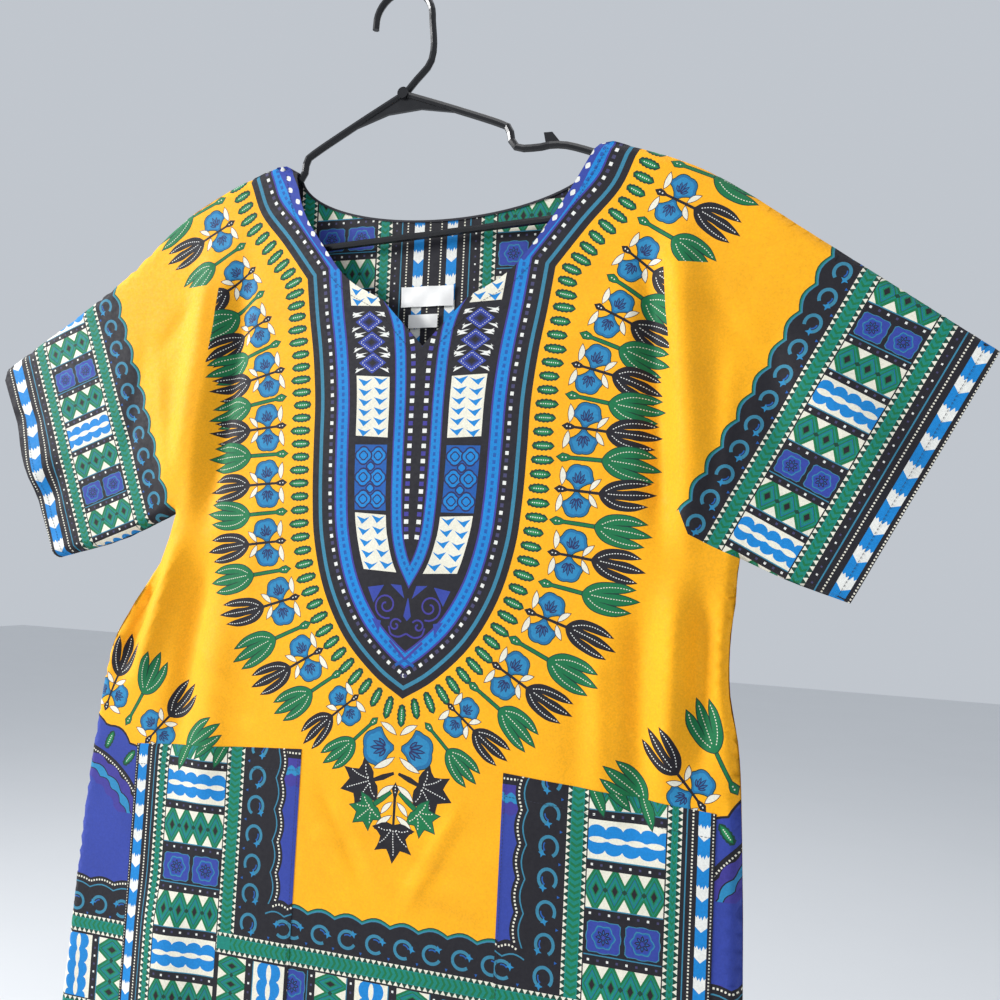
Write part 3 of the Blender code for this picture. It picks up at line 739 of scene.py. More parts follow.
class Strip:
    """A straight border: t runs along it and d across it, in millimetres."""

    def __init__(self, drawing, origin, along, across):
        self.drawing, self.origin = drawing, np.array(origin, dtype=float)
        self.along, self.across = np.array(along, dtype=float), np.array(across, dtype=float)

    def place(self, points):
        p = np.asarray(points, dtype=float)
        return self.origin + p[:, :1] * self.along + p[:, 1:] * self.across

    def add(self, points, colour):
        self.drawing.add(self.place(points), colour)

    def bar(self, t0, t1, d0, d1, colour):
        self.add([(t0, d0), (t1, d0), (t1, d1), (t0, d1)], colour)

    def dashes(self, t0, t1, d, colour, dash=1.2, gap=1.3, width=1.1, second=None):
        self.drawing.dashes(self.place([(t0, d), (t1, d)]), colour, dash, gap, width, second)

    def fine_dots(self, t0, t1, d):
        self.dashes(t0, t1, d, "cream", 1.3, 1.3, 1.3)

    def sparse_dots(self, t0, t1, d):
        self.dashes(t0, t1, d, "white", 1.4, 5.4, 1.4, second="dim")

    def wave(self, t0, t1, d, depth, pitch, reach):
        """Points of a scalloped line, closed at a further distance."""
        count = max(1, round((t1 - t0) / pitch))
        line = []
        for i in range(count * 6 + 1):
            t = t0 + (t1 - t0) * i / (count * 6)
            line.append((t, d - depth * abs(math.sin(math.pi * (t - t0) / (t1 - t0) * count))))
        return line + [(t1, reach), (t0, reach)]

    def wave_line(self, t0, t1, d, depth, pitch):
        """The scalloped line itself, placed on the panel."""
        return self.place(self.wave(t0, t1, d, depth, pitch, d)[:-2])


def scalloped_edge(strip, t0, t1, d, reach, pitch=26.0):
    """A black edge with a green rim and a thin teal line inside it."""
    for inset, colour in ((3.0, "dark green"), (4.0, "teal"), (5.0, "line"), (6.3, "black")):
        strip.add(strip.wave(t0, t1, d + inset, 4.2, pitch, reach), colour)


def dotted_scallops(strip, t0, t1, d, reach, pitch=26.0):
    """Black with a white dotted scalloped line and a thin teal one."""
    strip.add(strip.wave(t0, t1, d + 3.0, 3.0, pitch, reach), "black")
    strip.drawing.dashes(strip.wave_line(t0, t1, d + 6.0, 3.0, pitch), "cream", 1.5, 1.4, 1.6)
    strip.add(strip.wave(t0, t1, d + 10.5, 3.6, pitch, reach), "line")
    strip.add(strip.wave(t0, t1, d + 11.7, 3.6, pitch, reach), "black")


def c_rings(strip, t0, t1, d, pitch=27.0, radius=7.6, flip=1.0):
    """Open rings with a small star-shaped head."""
    count = max(1, round((t1 - t0) / pitch))
    for i in range(count):
        t = t0 + (i + 0.5) * (t1 - t0) / count
        turn = 0.35 * math.sin(2.1 * i)
        arc = [(t + radius * math.cos(a + turn), d + flip * radius * 0.92 * math.sin(a + turn))
               for a in np.linspace(math.radians(45), math.radians(335), 18)]
        strip.drawing.stroke(strip.place(arc), 2.6, "line")
        hook = [(t + radius * math.cos(a + turn) * 0.62, d + flip * radius * 0.55 * math.sin(a + turn))
                for a in np.linspace(math.radians(250), math.radians(330), 5)]
        strip.drawing.stroke(strip.place(hook), 1.1, "deep blue")
        head_t = t + radius * math.cos(math.radians(335) + turn)
        head_d = d + flip * radius * math.sin(math.radians(335) + turn)
        star = []
        for k in range(8):
            reach = 3.4 if k % 2 == 0 else 1.4
            a = turn + math.pi * k / 4
            star.append((head_t + reach * math.cos(a), head_d + reach * math.sin(a)))
        strip.add(star, "petal")
        strip.add([(t + pitch / 2 - 1.2, d + 8.5), (t + pitch / 2 + 1.2, d + 8.5), (t + pitch / 2, d + 10.8)],
                  "deep blue")


def zigzag_strip(strip, t0, t1, d0, d1, pitch=5.2):
    """A green and teal herringbone between two rows of small white triangles."""
    strip.bar(t0, t1, d0, d1, "dark green")
    strip.bar(t0, t1, d0 + 3.0, d1 - 3.0, "teal")
    count = max(1, round((t1 - t0) / pitch))
    step = (t1 - t0) / count
    middle = (d0 + d1) / 2
    for i in range(count):
        t = t0 + i * step
        for edge, tip in ((d0, d0 + 3.4), (d1, d1 - 3.4)):
            strip.add([(t + 0.5, edge), (t + step - 0.5, edge), (t + step / 2, tip)], "cream")
        bend = t + step * 0.42
        strip.add([(t, d0 + 4.0), (bend, d0 + 4.0), (t + step * 0.92, middle), (bend, d1 - 4.0),
                   (t, d1 - 4.0), (t + step * 0.5, middle)], "green")


def dot_row(strip, t0, t1, d0, d1):
    """A black bar across the strip with sparse white dots and a thin teal line."""
    strip.bar(t0, t1, d0, d1, "black")
    strip.bar(t0, t0 + 0.9, d0, d1, "line")
    middle = (t0 + t1) / 2 + 0.3
    strip.drawing.dashes(strip.place([(middle, d0), (middle, d1)]), "white", 1.8, 5.2, 1.8, second="dim")


def lozenges(strip, t0, t1, d0, d1):
    """Green-edged teal diamonds with black hearts between white triangles."""
    strip.bar(t0, t1, d0, d1, "teal")
    count = max(2, round((d1 - d0) / 17.0))
    step = (d1 - d0) / count
    middle, half = (t0 + t1) / 2, (t1 - t0) / 2
    for i in range(count + 1):
        d = d0 + i * step
        for edge, tip in ((t0, t0 + half * 0.72), (t1, t1 - half * 0.72)):
            inward = np.sign(tip - edge)
            for reach, push, colour in ((0.5, 1.6, "green"), (0.34, -1.2, "cream")):
                strip.add([(edge, max(d - step * reach, d0)), (edge, min(d + step * reach, d1)),
                           (tip + push * inward, min(max(d, d0), d1))], colour)
    for i in range(count):
        d = d0 + (i + 0.5) * step
        for scale, colour in ((0.92, "green"), (0.76, "deep blue"), (0.70, "teal"), (0.42, "green"),
                              (0.30, "black")):
            strip.add(diamond(middle, d, half * scale, step / 2 * scale), colour)
    for i in range(1, count):
        strip.add(diamond(middle, d0 + i * step, half * 0.16, step * 0.15), "dark green")


def wavy_panel(strip, t0, t1, d0, d1):
    """White with two scalloped blue bands and a chain of white ovals."""
    strip.bar(t0, t1, d0, d1, "cream")
    steps = 40
    margin = (t1 - t0) * 0.20
    lower, upper = [], []
    for i in range(steps + 1):
        d = d0 + (d1 - d0) * i / steps
        bulge = abs(math.sin(math.pi * i / steps * 4.5))
        tooth = 1.3 if i % 9 == 0 else 0.0
        lower.append((t0 + margin - 2.4 * bulge + tooth, d))
        upper.append((t1 - margin + 2.4 * bulge - tooth, d))
    strip.add(lower + upper[::-1], "bright")
    ovals = 4
    step = (d1 - d0) / ovals
    middle = (t0 + t1) / 2
    for i in range(ovals):
        d = d0 + (i + 0.5) * step
        strip.add([(middle + 2.4 * math.sin(a), d + step * 0.47 * math.cos(a))
                   for a in np.linspace(0, 2 * math.pi, 13)[:-1]], "cream")
    for i in range(1, ovals):
        d = d0 + i * step
        strip.add([(middle - 1.0, d - 1.6), (middle - 1.0, d + 1.6), (middle + 1.0, d + 1.6),
                   (middle + 1.0, d - 1.6)], "cream")


def rosette(strip, t, d, size):
    """Eight black petals with blue hearts."""
    for i in range(8):
        a = math.pi * i / 4
        for length, width, out, steps, colour in ((0.40, 0.20, 0.09, 4, "black"),
                                                  (0.24, 0.09, 0.16, 3, "deep blue")):
            origin = (t + size * out * math.cos(a), d + size * out * math.sin(a))
            strip.add(turned(leaf_shape(size * length, size * width, 0, steps), origin, a), colour)


def cartouches(strip, t0, t1, d0, d1):
    """Two royal-blue rounded plaques, each with an eight-petalled rosette."""
    strip.bar(t0, t1, d0, d1, "black")
    middle = (t0 + t1) / 2
    for k in range(2):
        a, b = d0 + (d1 - d0) * (0.5 * k) + 0.6, d0 + (d1 - d0) * (0.5 * k + 0.5) - 0.6
        centre, w, h = (a + b) / 2, (b - a) / 2, (t1 - t0) / 2 - 0.6
        for scale, colour in ((1.0, "line"), (0.95, "royal")):
            points = []
            for turn in 2 * math.pi * np.arange(36) / 36:
                c, s = math.cos(turn), math.sin(turn)
                reach = 1.0 / max(abs(c), abs(s)) ** 0.82 * (0.93 + 0.07 * abs(math.cos(4 * turn)))
                t = middle + h * scale * s * reach * 0.97
                d = centre + w * scale * c * reach * 0.97
                points.append((min(max(t, t0), t1), min(max(d, a), b)))
            strip.add(points, colour)
        for size, colour in ((0.70, "line"), (0.63, "deep blue"), (0.56, "royal")):
            disc = [(middle + h * size * (1 + 0.10 * math.cos(6 * t)) * math.sin(t),
                     centre + h * size * (1 + 0.10 * math.cos(6 * t)) * math.cos(t))
                    for t in np.linspace(0, 2 * math.pi, 25)[:-1]]
            strip.add(disc, colour)
        rosette(strip, middle, centre, h)


def chevron_stripe(strip, t0, t1, d0, d1, pitch=23.0):
    """White with long blue flames, notched at one end and frayed at the other."""
    strip.bar(t0, t1, d0, d1, "white")
    count = max(1, round((t1 - t0) / pitch))
    step = (t1 - t0) / count
    middle, w = (d0 + d1) / 2, d1 - d0
    for i in range(count):
        t = t0 + i * step
        body = [(t + step * .02, d0), (t + step * .20, middle), (t + step * .02, d1),
                (t + step * .66, d1), (t + step * .74, d1 - w * .12), (t + step * .63, d1 - w * .25),
                (t + step * .80, middle + w * .08), (t + step * .68, middle - w * .02),
                (t + step * .77, middle - w * .14), (t + step * .64, d0 + w * .2),
                (t + step * .72, d0 + w * .1), (t + step * .66, d0)]
        strip.add(body, "bright")


BLOCKS = (("wavy", 30), ("dots", 8), ("lozenges", 29), ("dots", 8), ("cartouches", 27),
          ("dots", 8), ("lozenges", 29), ("dots", 8))
DRAW_BLOCK = {"wavy": wavy_panel, "lozenges": lozenges, "cartouches": cartouches,
              "dots": dot_row}


def block_column(strip, t0, t1, d0, d1, first=0, scale=1.0, start=None):
    """Blocks in their repeating order along the strip."""
    t = t0 if start is None else start
    i = first
    while t < t1 - 0.5:
        kind, length = BLOCKS[i % len(BLOCKS)]
        end = min(t + length * scale, t1)
        if end > t0 and end - max(t, t0) > 2.5:
            DRAW_BLOCK[kind](strip, max(t, t0), end, d0, d1)
        elif end > t0:
            strip.bar(max(t, t0), end, d0, d1, "black")
        t = t + length * scale
        i += 1


def outer_stripes(strip, t0, t1, d, reach):
    """The dotted black and flame stripes at a border's outer edge."""
    strip.bar(t0, t1, d, reach, "black")
    strip.sparse_dots(t0, t1, d + 4.0)
    strip.bar(t0, t1, d + 7.5, d + 8.6, "line")
    strip.fine_dots(t0, t1, d + 13.0)
    chevron_stripe(strip, t0, t1, d + 18.5, d + 30.0)
    strip.fine_dots(t0, t1, d + 33.5)


def sleeve_bands(drawing):
    """The borders that run across both sleeves out to the cuffs."""
    for side, ax, az, bx, bz in SLEEVE_BAND:
        along = np.array((bx - ax, bz - az), dtype=float)
        length = float(np.linalg.norm(along))
        along /= length
        across = np.array((-along[1], along[0]))
        drawing.side = side
        strip = Strip(drawing, (ax, az), along, across)
        t0, t1 = -34.0, length + 34.0
        scalloped_edge(strip, t0, t1, -2.0, 24.0, 24.0)
        strip.bar(t0, t1, 6.0, 190.0, "black")
        c_rings(strip, t0, t1, 15.0, 21.5, 6.6, -1.0)
        zigzag_strip(strip, t0, t1, 26.5, 41.5, 5.0)
        block_column(strip, t0, t1, 42.5, 92.0, 7 if side > 0 else 5, 0.80, t0 + (6 if side > 0 else 0))
        zigzag_strip(strip, t0, t1, 93.0, 107.0, 5.0)
        outer_stripes(strip, t0, t1, 107.0, 190.0)
        drawing.add(ARMPIT_PATCH[side], "yellow")
    drawing.side = 1.0


def hem_border(drawing, x0, x1, first=3):
    """The border along the hem, drawn from left to right."""
    strip = Strip(drawing, (0.0, -811.0), RIGHT, DOWN)
    scalloped_edge(strip, x0, x1, -3.0, 60.0)
    strip.bar(x0, x1, 6.0, 170.0, "black")
    c_rings(strip, x0, x1, 17.5, 26.0, 7.6)
    zigzag_strip(strip, x0, x1, 30.0, 47.0)
    block_column(strip, x0, x1, 48.5, 108.0, first)
    zigzag_strip(strip, x0, x1, 109.5, 122.5)
    strip.bar(x0, x1, 122.5, 170.0, "black")
    strip.sparse_dots(x0, x1, 126.5)
    strip.bar(x0, x1, 130.0, 131.1, "line")
    strip.fine_dots(x0, x1, 135.5)


def side_panel(drawing, side):
    """Plain royal blue at the side, closed below by the hem border's rows."""
    corner_clusters(drawing, side)
    drawing.side = side
    strip = Strip(drawing, (255.0, -812.0), RIGHT, DOWN)
    strip.bar(-4, 100, -60, 0, "royal")
    dotted_scallops(strip, -4, 100, 0.0, 150.0)
    c_rings(strip, -2, 100, 25.5, 25.0, 7.6)
    zigzag_strip(strip, -4, 100, 36.5, 52.0)
    block_column(strip, -4, 100, 54.0, 110.0, 5)
    zigzag_strip(strip, -4, 100, 111.0, 123.0)
    strip.fine_dots(-4, 100, 128.0)
    drawing.side = 1.0


def front_print():
    drawing = Drawing()
    side_panel(drawing, -1)
    side_panel(drawing, 1)
    hem_border(drawing, -256.0, 256.0)
    seeds(drawing)
    flower_ring(drawing)
    bottom_spray(drawing)
    medallion(drawing)
    sleeve_bands(drawing)
    return drawing


def back_print():
    """Two columns of blocks down the back, the hem's border and the sleeves'."""
    drawing = Drawing()
    hem_border(drawing, -345.0, 345.0, 0)
    top, end = -45.0, 617.0
    for side, first, start in ((-1, 7, -2.0), (1, 5, -14.0)):
        drawing.side = side
        strip = Strip(drawing, (0.0, -195.0), DOWN, RIGHT)
        strip.bar(top, end, 0.0, 150.0, "black")
        strip.fine_dots(top, end, 5.5)
        chevron_stripe(strip, top, end, 11.0, 20.5)
        strip.fine_dots(top, end, 27.0)
        strip.bar(top, end, 32.0, 33.1, "line")
        strip.sparse_dots(top, end, 38.0)
        zigzag_strip(strip, top, end, 42.5, 56.5)
        block_column(strip, top, end, 58.0, 118.0, first, 0.90, start - 60.0)
        zigzag_strip(strip, top, end, 119.5, 135.5)
        drawing.add([(135.5, -140), (163, -140), (163, -812), (135.5, -812)], "black")
        c_rings(strip, top, end, 149.0, 26.0, 7.6, -1.0)
        scalloped_edge(Strip(drawing, (168.0, -195.0), DOWN, LEFT), top, end, 0.0, 9.0)
    drawing.side = 1.0
    sleeve_bands(drawing)
    return drawing


def pocket_print(side):
    """The corner of the border that each pocket is cut from."""
    drawing = Drawing()
    drawing.side = side
    strip = Strip(drawing, (0.0, -660.0), DOWN, RIGHT)
    top, end = 0.0, 290.0
    strip.bar(top, end, 80.0, 280.0, "black")
    strip.bar(top, 150.0, 80.0, 110.0, "royal")
    header = Strip(drawing, (0.0, -676.0), RIGHT, DOWN)
    header.bar(80, 112, -16, 8.5, "black")
    header.dashes(80, 110, 4.0, "cream", 1.5, 1.4, 1.6)
    for d, wave, reach, colour in ((17.0, -4.0, 8.5, "violet"), (17.5, 3.0, 23.0, "petal"),
                                   (24.5, 3.0, 34.0, "violet"), (30.5, -2.4, 34.0, "royal")):
        header.add(header.wave(80, 112, d, wave, 8.0, reach), colour)
    dotted_scallops(Strip(drawing, (103.5, -676.0), DOWN, RIGHT), 0, 134, 0.0, 17.0, 28.0)
    foot = Strip(drawing, (80.0, -806.0), RIGHT, DOWN)
    foot.add(foot.wave(0, 30, 2.0, 3.0, 13.0, 40.0), "black")
    drawing.dashes(foot.wave_line(0, 31, 6.0, 3.0, 13.0), "cream", 1.5, 1.4, 1.6)
    drawing.stroke(foot.wave_line(0, 37, 12.5, 3.0, 16.0), 1.2, "line")
    strip.bar(top, 187.0, 119.0, 147.0, "black")
    strip.bar(176.0, 187.0, 80.0, 147.0, "black")
    c_rings(strip, 6.0, 182.0, 133.0, 25.2, 7.8, 1.0)
    c_rings(Strip(drawing, (80.0, -829.0), RIGHT, DOWN), 5.0, 33.0, 0.0, 27.0, 7.4)
    zigzag_strip(strip, top, 201.0, 147.0, 163.5)
    foot = Strip(drawing, (80.0, -841.0), RIGHT, DOWN)
    zigzag_strip(foot, 0.0, 83.0, 0.0, 17.0)
    foot.bar(70.0, 83.2, 3.0, 14.0, "teal")
    foot.bar(0.0, 83.5, 17.0, 120.0, "black")
    block_column(foot, -30.0, 80.0, 19.0, 80.0, 5)
    foot.bar(81.5, 90.0, 19.0, 120.0, "black")
    block_column(strip, 8.0, end, 164.5, 225.0, 6, 1.0, 6.0)
    zigzag_strip(strip, top, end, 226.0, 237.0, 5.0)
    strip.bar(top, end, 237.0, 280.0, "black")
    strip.bar(top, end, 240.0, 241.0, "line")
    strip.fine_dots(top, end, 245.0)
    chevron_stripe(strip, top, end, 249.0, 258.0)
    strip.dashes(top, end, 260.2, "cream", 1.2, 1.3, 1.1)
    for origin, degrees in (((176, -700), 118), ((196, -694), 140), ((214, -706), 114)):
        angle = math.radians(degrees)
        drawing.outlined(turned(leaf_shape(30, 9.0, -2.0), origin, angle), "green", 0.8)
        drawing.dashes(turned([(4, -1.0), (24, -1.2)], origin, angle), "cream", 1.0, 1.0, 0.7)
    drawing.side = 1.0
    return drawing


# ------------------------------------------------------------ shape of the cloth
FRONT_SHAPE = FRONT_FOLDS + FRONT_CREASES
BACK_SHAPE = BACK_FOLDS + BACK_CREASES


def smooth_line(points, spacing=0.012):
    """A smooth curve through the points, at an even spacing."""
    fine = path_points(points, 24)
    total = lengths(fine)[-1]
    return points_at(fine, np.linspace(0.0, total, max(1, round(total / spacing)) + 1))


def on_side(rows, side):
    first = 1 if side < 0 else 3
    return [(side * row[first], row[first + 1]) for row in rows]


def shoulder_line(side):
    return smooth_line(on_side(SHOULDER, side))


def cuff_line(side):
    return smooth_line([on_side(SHOULDER, side)[-1], on_side(UNDERARM, side)[0]])


def underarm_line(side):
    return smooth_line(on_side(UNDERARM, side))


def side_line(side):
    column = 1 if side < 0 else 2
    armpit = on_side(UNDERARM, side)[-1]
    return smooth_line([armpit] + [(side * row[column], row[0]) for row in SIDE])


def hem_line():
    return smooth_line([side_line(1)[-1], side_line(-1)[-1]])


def front_neckline():
    left, right = (smooth_line([on_side(SHOULDER, side)[0]] + [(side * x, z) for x, z in NECK_FRONT],
                               EDGE_SPACING) for side in (-1, 1))
    slit = (0.0, SLIT_Z)
    down = smooth_line([left[-1], slit], EDGE_SPACING)
    up = smooth_line([slit, right[-1]], EDGE_SPACING)
    return np.vstack([left, down[1:], up[1:], right[-2::-1]])


def back_neckline():
    (left_x, left_z), (right_x, right_z) = on_side(SHOULDER, -1)[0], on_side(SHOULDER, 1)[0]
    centre, half = (left_x + right_x) / 2, (right_x - left_x) / 2
    turn = math.pi * (1 - np.linspace(0.0, 1.0, 49))
    height = left_z + (right_z - left_z) * (1 + np.cos(turn)) / 2
    return np.column_stack((centre + half * np.cos(turn), height - BACK_NECK_DROP * np.sin(turn)))


def panel_outline(neckline):
    parts = (neckline, shoulder_line(1), cuff_line(1), underarm_line(1), side_line(1), hem_line(),
             side_line(-1)[::-1], underarm_line(-1)[::-1], cuff_line(-1)[::-1], shoulder_line(-1)[::-1])
    return np.vstack([part[:-1] for part in parts])


def pocket_outline(side):
    corners = [(POCKET_INNER, POCKET_TOP_INNER), (POCKET_OUTER, POCKET_TOP_OUTER),
               (POCKET_OUTER, POCKET_BOTTOM), (POCKET_INNER, POCKET_BOTTOM)]
    corners = [(side * x, z) for x, z in corners]
    return np.vstack([smooth_line([a, b], EDGE_SPACING)[:-1]
                      for a, b in zip(corners, corners[1:] + corners[:1])])


def line_distance(points, line):
    best = np.full(len(points), np.inf)
    for a, b in zip(line, line[1:]):
        along = np.clip((points - a) @ (b - a) / ((b - a) @ (b - a)), 0.0, 1.0)
        gap = points - a - along[:, None] * (b - a)
        best = np.minimum(best, np.hypot(gap[:, 0], gap[:, 1]))
    return best


SEAMS = [smooth_line(line, 0.025) for side in (-1, 1)
         for line in (on_side(SHOULDER, side), on_side(UNDERARM, side),
                      np.vstack([side_line(side)[::4], side_line(side)[-1:]]))]


def ease(value, start, end):
    t = np.clip((value - start) / (end - start), 0.0, 1.0)
    return t * t * (3 - 2 * t)


def fold_height(points, folds):
    total = np.zeros(len(points))
    for _, x0, z0, x1, z1, width, height in folds:
        start, run = np.array((x0, z0)), np.array((x1 - x0, z1 - z0))
        length = np.linalg.norm(run)
        run = run / length
        along = (points - start) @ run / length
        across = (points - start) @ np.array((-run[1], run[0]))
        ends = ease(along, -0.05, FOLD_FADE) * (1 - ease(along, 1 - FOLD_FADE, 1.05))
        total += height * ends * np.exp(-(across / width) ** 2)
    return total


def depth(points, folds):
    """How far the cloth lies from the plane of the seams."""
    heights, values = np.array(FULLNESS[::-1]).T
    body = np.interp(points[:, 1], heights, values)
    sleeve = ease(np.abs(points[:, 0]), SLEEVE_START, SLEEVE_FULL)
    sleeve = sleeve * ease(points[:, 1], -0.54, -0.50)
    full = body * (1 - sleeve) + SLEEVE_FULLNESS * sleeve
    near = np.min([line_distance(points, line) for line in SEAMS], axis=0)
    inside = np.clip(near / ROLL, 0.0, 1.0)
    rounding = np.sqrt(1 - (1 - inside) ** 2)
    return SEAM_GAP + rounding * (full + fold_height(points, folds) * inside)


def depth_and_slope(points, folds):
    step = 0.0009
    middle = depth(points, folds)
    dx = (depth(points + (step, 0), folds) - depth(points - (step, 0), folds)) / (2 * step)
    dz = (depth(points + (0, step), folds) - depth(points - (0, step), folds)) / (2 * step)
    return middle, dx, dz


# ----------------------------------------------------------------- cloth sheets
def winding(points, loop):
    """How often a closed loop winds round each point."""
    x, z = points[:, :1], points[:, 1:]
    (ax, az), (bx, bz) = loop.T, np.roll(loop, -1, axis=0).T
    side = (bx - ax) * (z - az) - (x - ax) * (bz - az)
    up = (az <= z) & (bz > z) & (side > 0)
    down = (az > z) & (bz <= z) & (side < 0)
    return up.sum(axis=1) - down.sum(axis=1)


def split_long(loop, longest):
    """The same closed loop with no side longer than the cloth's own spacing."""
    made = []
    for start, end in zip(loop, np.roll(loop, -1, axis=0)):
        count = max(1, math.ceil(np.linalg.norm(end - start) / longest))
        made.append(start + (end - start) * np.arange(count)[:, None] / count)
    return np.vstack(made)


def printed_triangles(outline, drawing, spacing):
    """Triangles of a panel cut along its print, each with its colour."""
    verts = [Vector(p) for p in outline]
    edges = [(i, (i + 1) % len(outline)) for i in range(len(outline))]
    low, high = outline.min(axis=0), outline.max(axis=0)
    shapes = []
    for points, colour in drawing.shapes:
        p = points / 1000.0
        if (p.max(axis=0) > low).all() and (p.min(axis=0) < high).all():
            p = split_long(p, spacing)
            first, count = len(verts), len(p)
            edges += [(first + i, first + (i + 1) % count) for i in range(count)]
            verts += [Vector(q) for q in p]
            shapes.append((p, colour))
    row = 0
    z = low[1]
    while z < high[1]:
        for x in np.arange(low[0], high[0], spacing):
            verts.append(Vector((x + 0.5 * spacing * (row % 2), z)))
        z += spacing * 0.87
        row += 1
    points, _, triangles, _, _, _ = delaunay_2d_cdt(verts, edges, [], 0, 1e-6)
    points, triangles = np.array([tuple(p) for p in points]), np.array(triangles)
    middles = points[triangles].mean(axis=1)
    kept = np.concatenate([winding(part, outline) != 0 for part in np.array_split(middles, 40)])
    triangles, middles = triangles[kept], middles[kept]
    order = np.argsort(middles[:, 0])
    triangles, middles = triangles[order], middles[order]
    tints = np.full(len(triangles), NAMES.index("yellow"))
    for p, colour in shapes:
        a, b = np.searchsorted(middles[:, 0], (p[:, 0].min(), p[:, 0].max()))
        near = np.arange(a, b)
        near = near[(middles[a:b, 1] > p[:, 1].min()) & (middles[a:b, 1] < p[:, 1].max())]
        for part in np.array_split(near, 1 + len(near) // 4000):
            if len(part):
                tints[part[winding(middles[part], p) != 0]] = colour
    return points, triangles, tints


def linear(colour):
    return [c / 255 / 12.92 if c / 255 <= 0.04045 else ((c / 255 + 0.055) / 1.055) ** 2.4 for c in colour]


def new_object(name, data):
    made = bpy.data.objects.new(name, data)
    bpy.context.scene.collection.objects.link(made)
    return made


def smooth_object(name, verts, faces, material):
    mesh = bpy.data.meshes.new(name)
    mesh.from_pydata(verts, [], faces)
    mesh.shade_smooth()
    mesh.materials.append(material)
    return new_object(name, mesh)


def grid_faces(rows, count):
    """Faces between rows of points, with the same count in each row."""
    return [(r * count + i, r * count + i + 1, (r + 1) * count + i + 1, (r + 1) * count + i)
            for r in range(rows - 1) for i in range(count - 1)]


def facing_outward(points, triangles, tints, outward):
    """The triangles that have an area, all turned to the cloth's right side."""
    a, b, c = (points[triangles[:, k]] for k in range(3))
    turn = (b[:, 0] - a[:, 0]) * (c[:, 1] - a[:, 1]) - (b[:, 1] - a[:, 1]) * (c[:, 0] - a[:, 0])
    solid = np.abs(turn) > 1e-12
    triangles, tints = triangles[solid], tints[solid]
    flip = turn[solid] * outward > 0
    triangles[flip] = triangles[flip][:, ::-1]
    return triangles, tints


def cloth_mesh(name, outline, drawing, folds, outward, material, proud=0.0):
    """A printed sheet that hangs in the garment's shape."""
    points, triangles, tints = printed_triangles(outline, drawing, SHEET_SPACING)
    used, index = np.unique(triangles, return_inverse=True)
    points = points[used]
    triangles, tints = facing_outward(points, index.reshape(triangles.shape), tints, outward)
    height, dx, dz = depth_and_slope(points, folds)
    if proud:
        edge = line_distance(points, np.vstack([outline, outline[:1]]))
        height = height + EDGE_PROUD + (proud - EDGE_PROUD) * ease(edge, 0.0, 0.0022)
    verts = np.column_stack((points[:, 0] + GARMENT_X, outward * height, points[:, 1]))
    normals = np.column_stack((-dx, np.full(len(dx), float(outward)), -dz))
    normals /= np.linalg.norm(normals, axis=1)[:, None]
    made = smooth_object(name, verts.tolist(), triangles.tolist(), material)
    table = np.array([linear(COLOURS[n]) + [1.0] for n in NAMES])
    layer = made.data.color_attributes.new("print", "FLOAT_COLOR", "CORNER")
    layer.data.foreach_set("color", np.repeat(table[tints], 3, axis=0).ravel())
    uv = made.data.uv_layers.new(name="OFBake")
    low, high = outline.min(axis=0), outline.max(axis=0)
    flat = (points - low) / (high - low).max()
    uv.data.foreach_set("uv", flat[triangles.ravel()].ravel())
    made.data.normals_split_custom_set_from_vertices(normals.tolist())
    return made


# -------------------------------------------------------------------- materials
def node(tree, kind, **values):
    made = tree.nodes.new(kind)
    for key, value in values.items():
        setattr(made, key, value)
    return made


def new_material(name):
    """A material with its tree, its shader and object coordinates."""
    made = bpy.data.materials.new(name)
    made.use_nodes = True
    tree = made.node_tree
    coords = node(tree, "ShaderNodeTexCoord").outputs["Object"]
    return made, tree, tree.nodes["Principled BSDF"], coords


def weave_height(tree, coords, pitch):
    """Two crossing sets of threads, over and under."""
    parts = []
    for axis in ("X", "Z"):
        wave = node(tree, "ShaderNodeTexWave", wave_type="BANDS", bands_direction=axis, wave_profile="SIN")
        wave.inputs["Scale"].default_value = 1.0 / pitch / 3.18
        wave.inputs["Distortion"].default_value = 1.2
        wave.inputs["Detail"].default_value = 1.0
        wave.inputs["Detail Scale"].default_value = 0.6
        tree.links.new(coords, wave.inputs["Vector"])
        parts.append(wave.outputs["Fac"])
    joined = node(tree, "ShaderNodeMath", operation="MAXIMUM")
    tree.links.new(parts[0], joined.inputs[0])
    tree.links.new(parts[1], joined.inputs[1])
    return joined.outputs[0]


def noise(tree, coords, scale, detail=3.0, roughness=0.6):
    made = node(tree, "ShaderNodeTexNoise")
    made.inputs["Scale"].default_value = scale
    made.inputs["Detail"].default_value = detail
    made.inputs["Roughness"].default_value = roughness
    tree.links.new(coords, made.inputs["Vector"])
    return made.outputs["Fac"]


def ramp(tree, value, low, high, start, end):
    made = node(tree, "ShaderNodeMapRange")
    made.inputs["From Min"].default_value = low
    made.inputs["From Max"].default_value = high
    made.inputs["To Min"].default_value = start
    made.inputs["To Max"].default_value = end
    tree.links.new(value, made.inputs["Value"])
    return made.outputs["Result"]


def mottled(tree, shader, coords, dark, light, scale):
    """A base colour that drifts between two tones."""
    tone = node(tree, "ShaderNodeValToRGB")
    tone.color_ramp.elements[0].color = (*dark, 1.0)
    tone.color_ramp.elements[1].color = (*light, 1.0)
    tree.links.new(noise(tree, coords, scale), tone.inputs["Fac"])
    tree.links.new(tone.outputs["Color"], shader.inputs["Base Color"])


def bump(tree, height, strength, distance):
    made = node(tree, "ShaderNodeBump")
    made.inputs["Strength"].default_value = strength
    made.inputs["Distance"].default_value = distance
    tree.links.new(height, made.inputs["Height"])
    return made


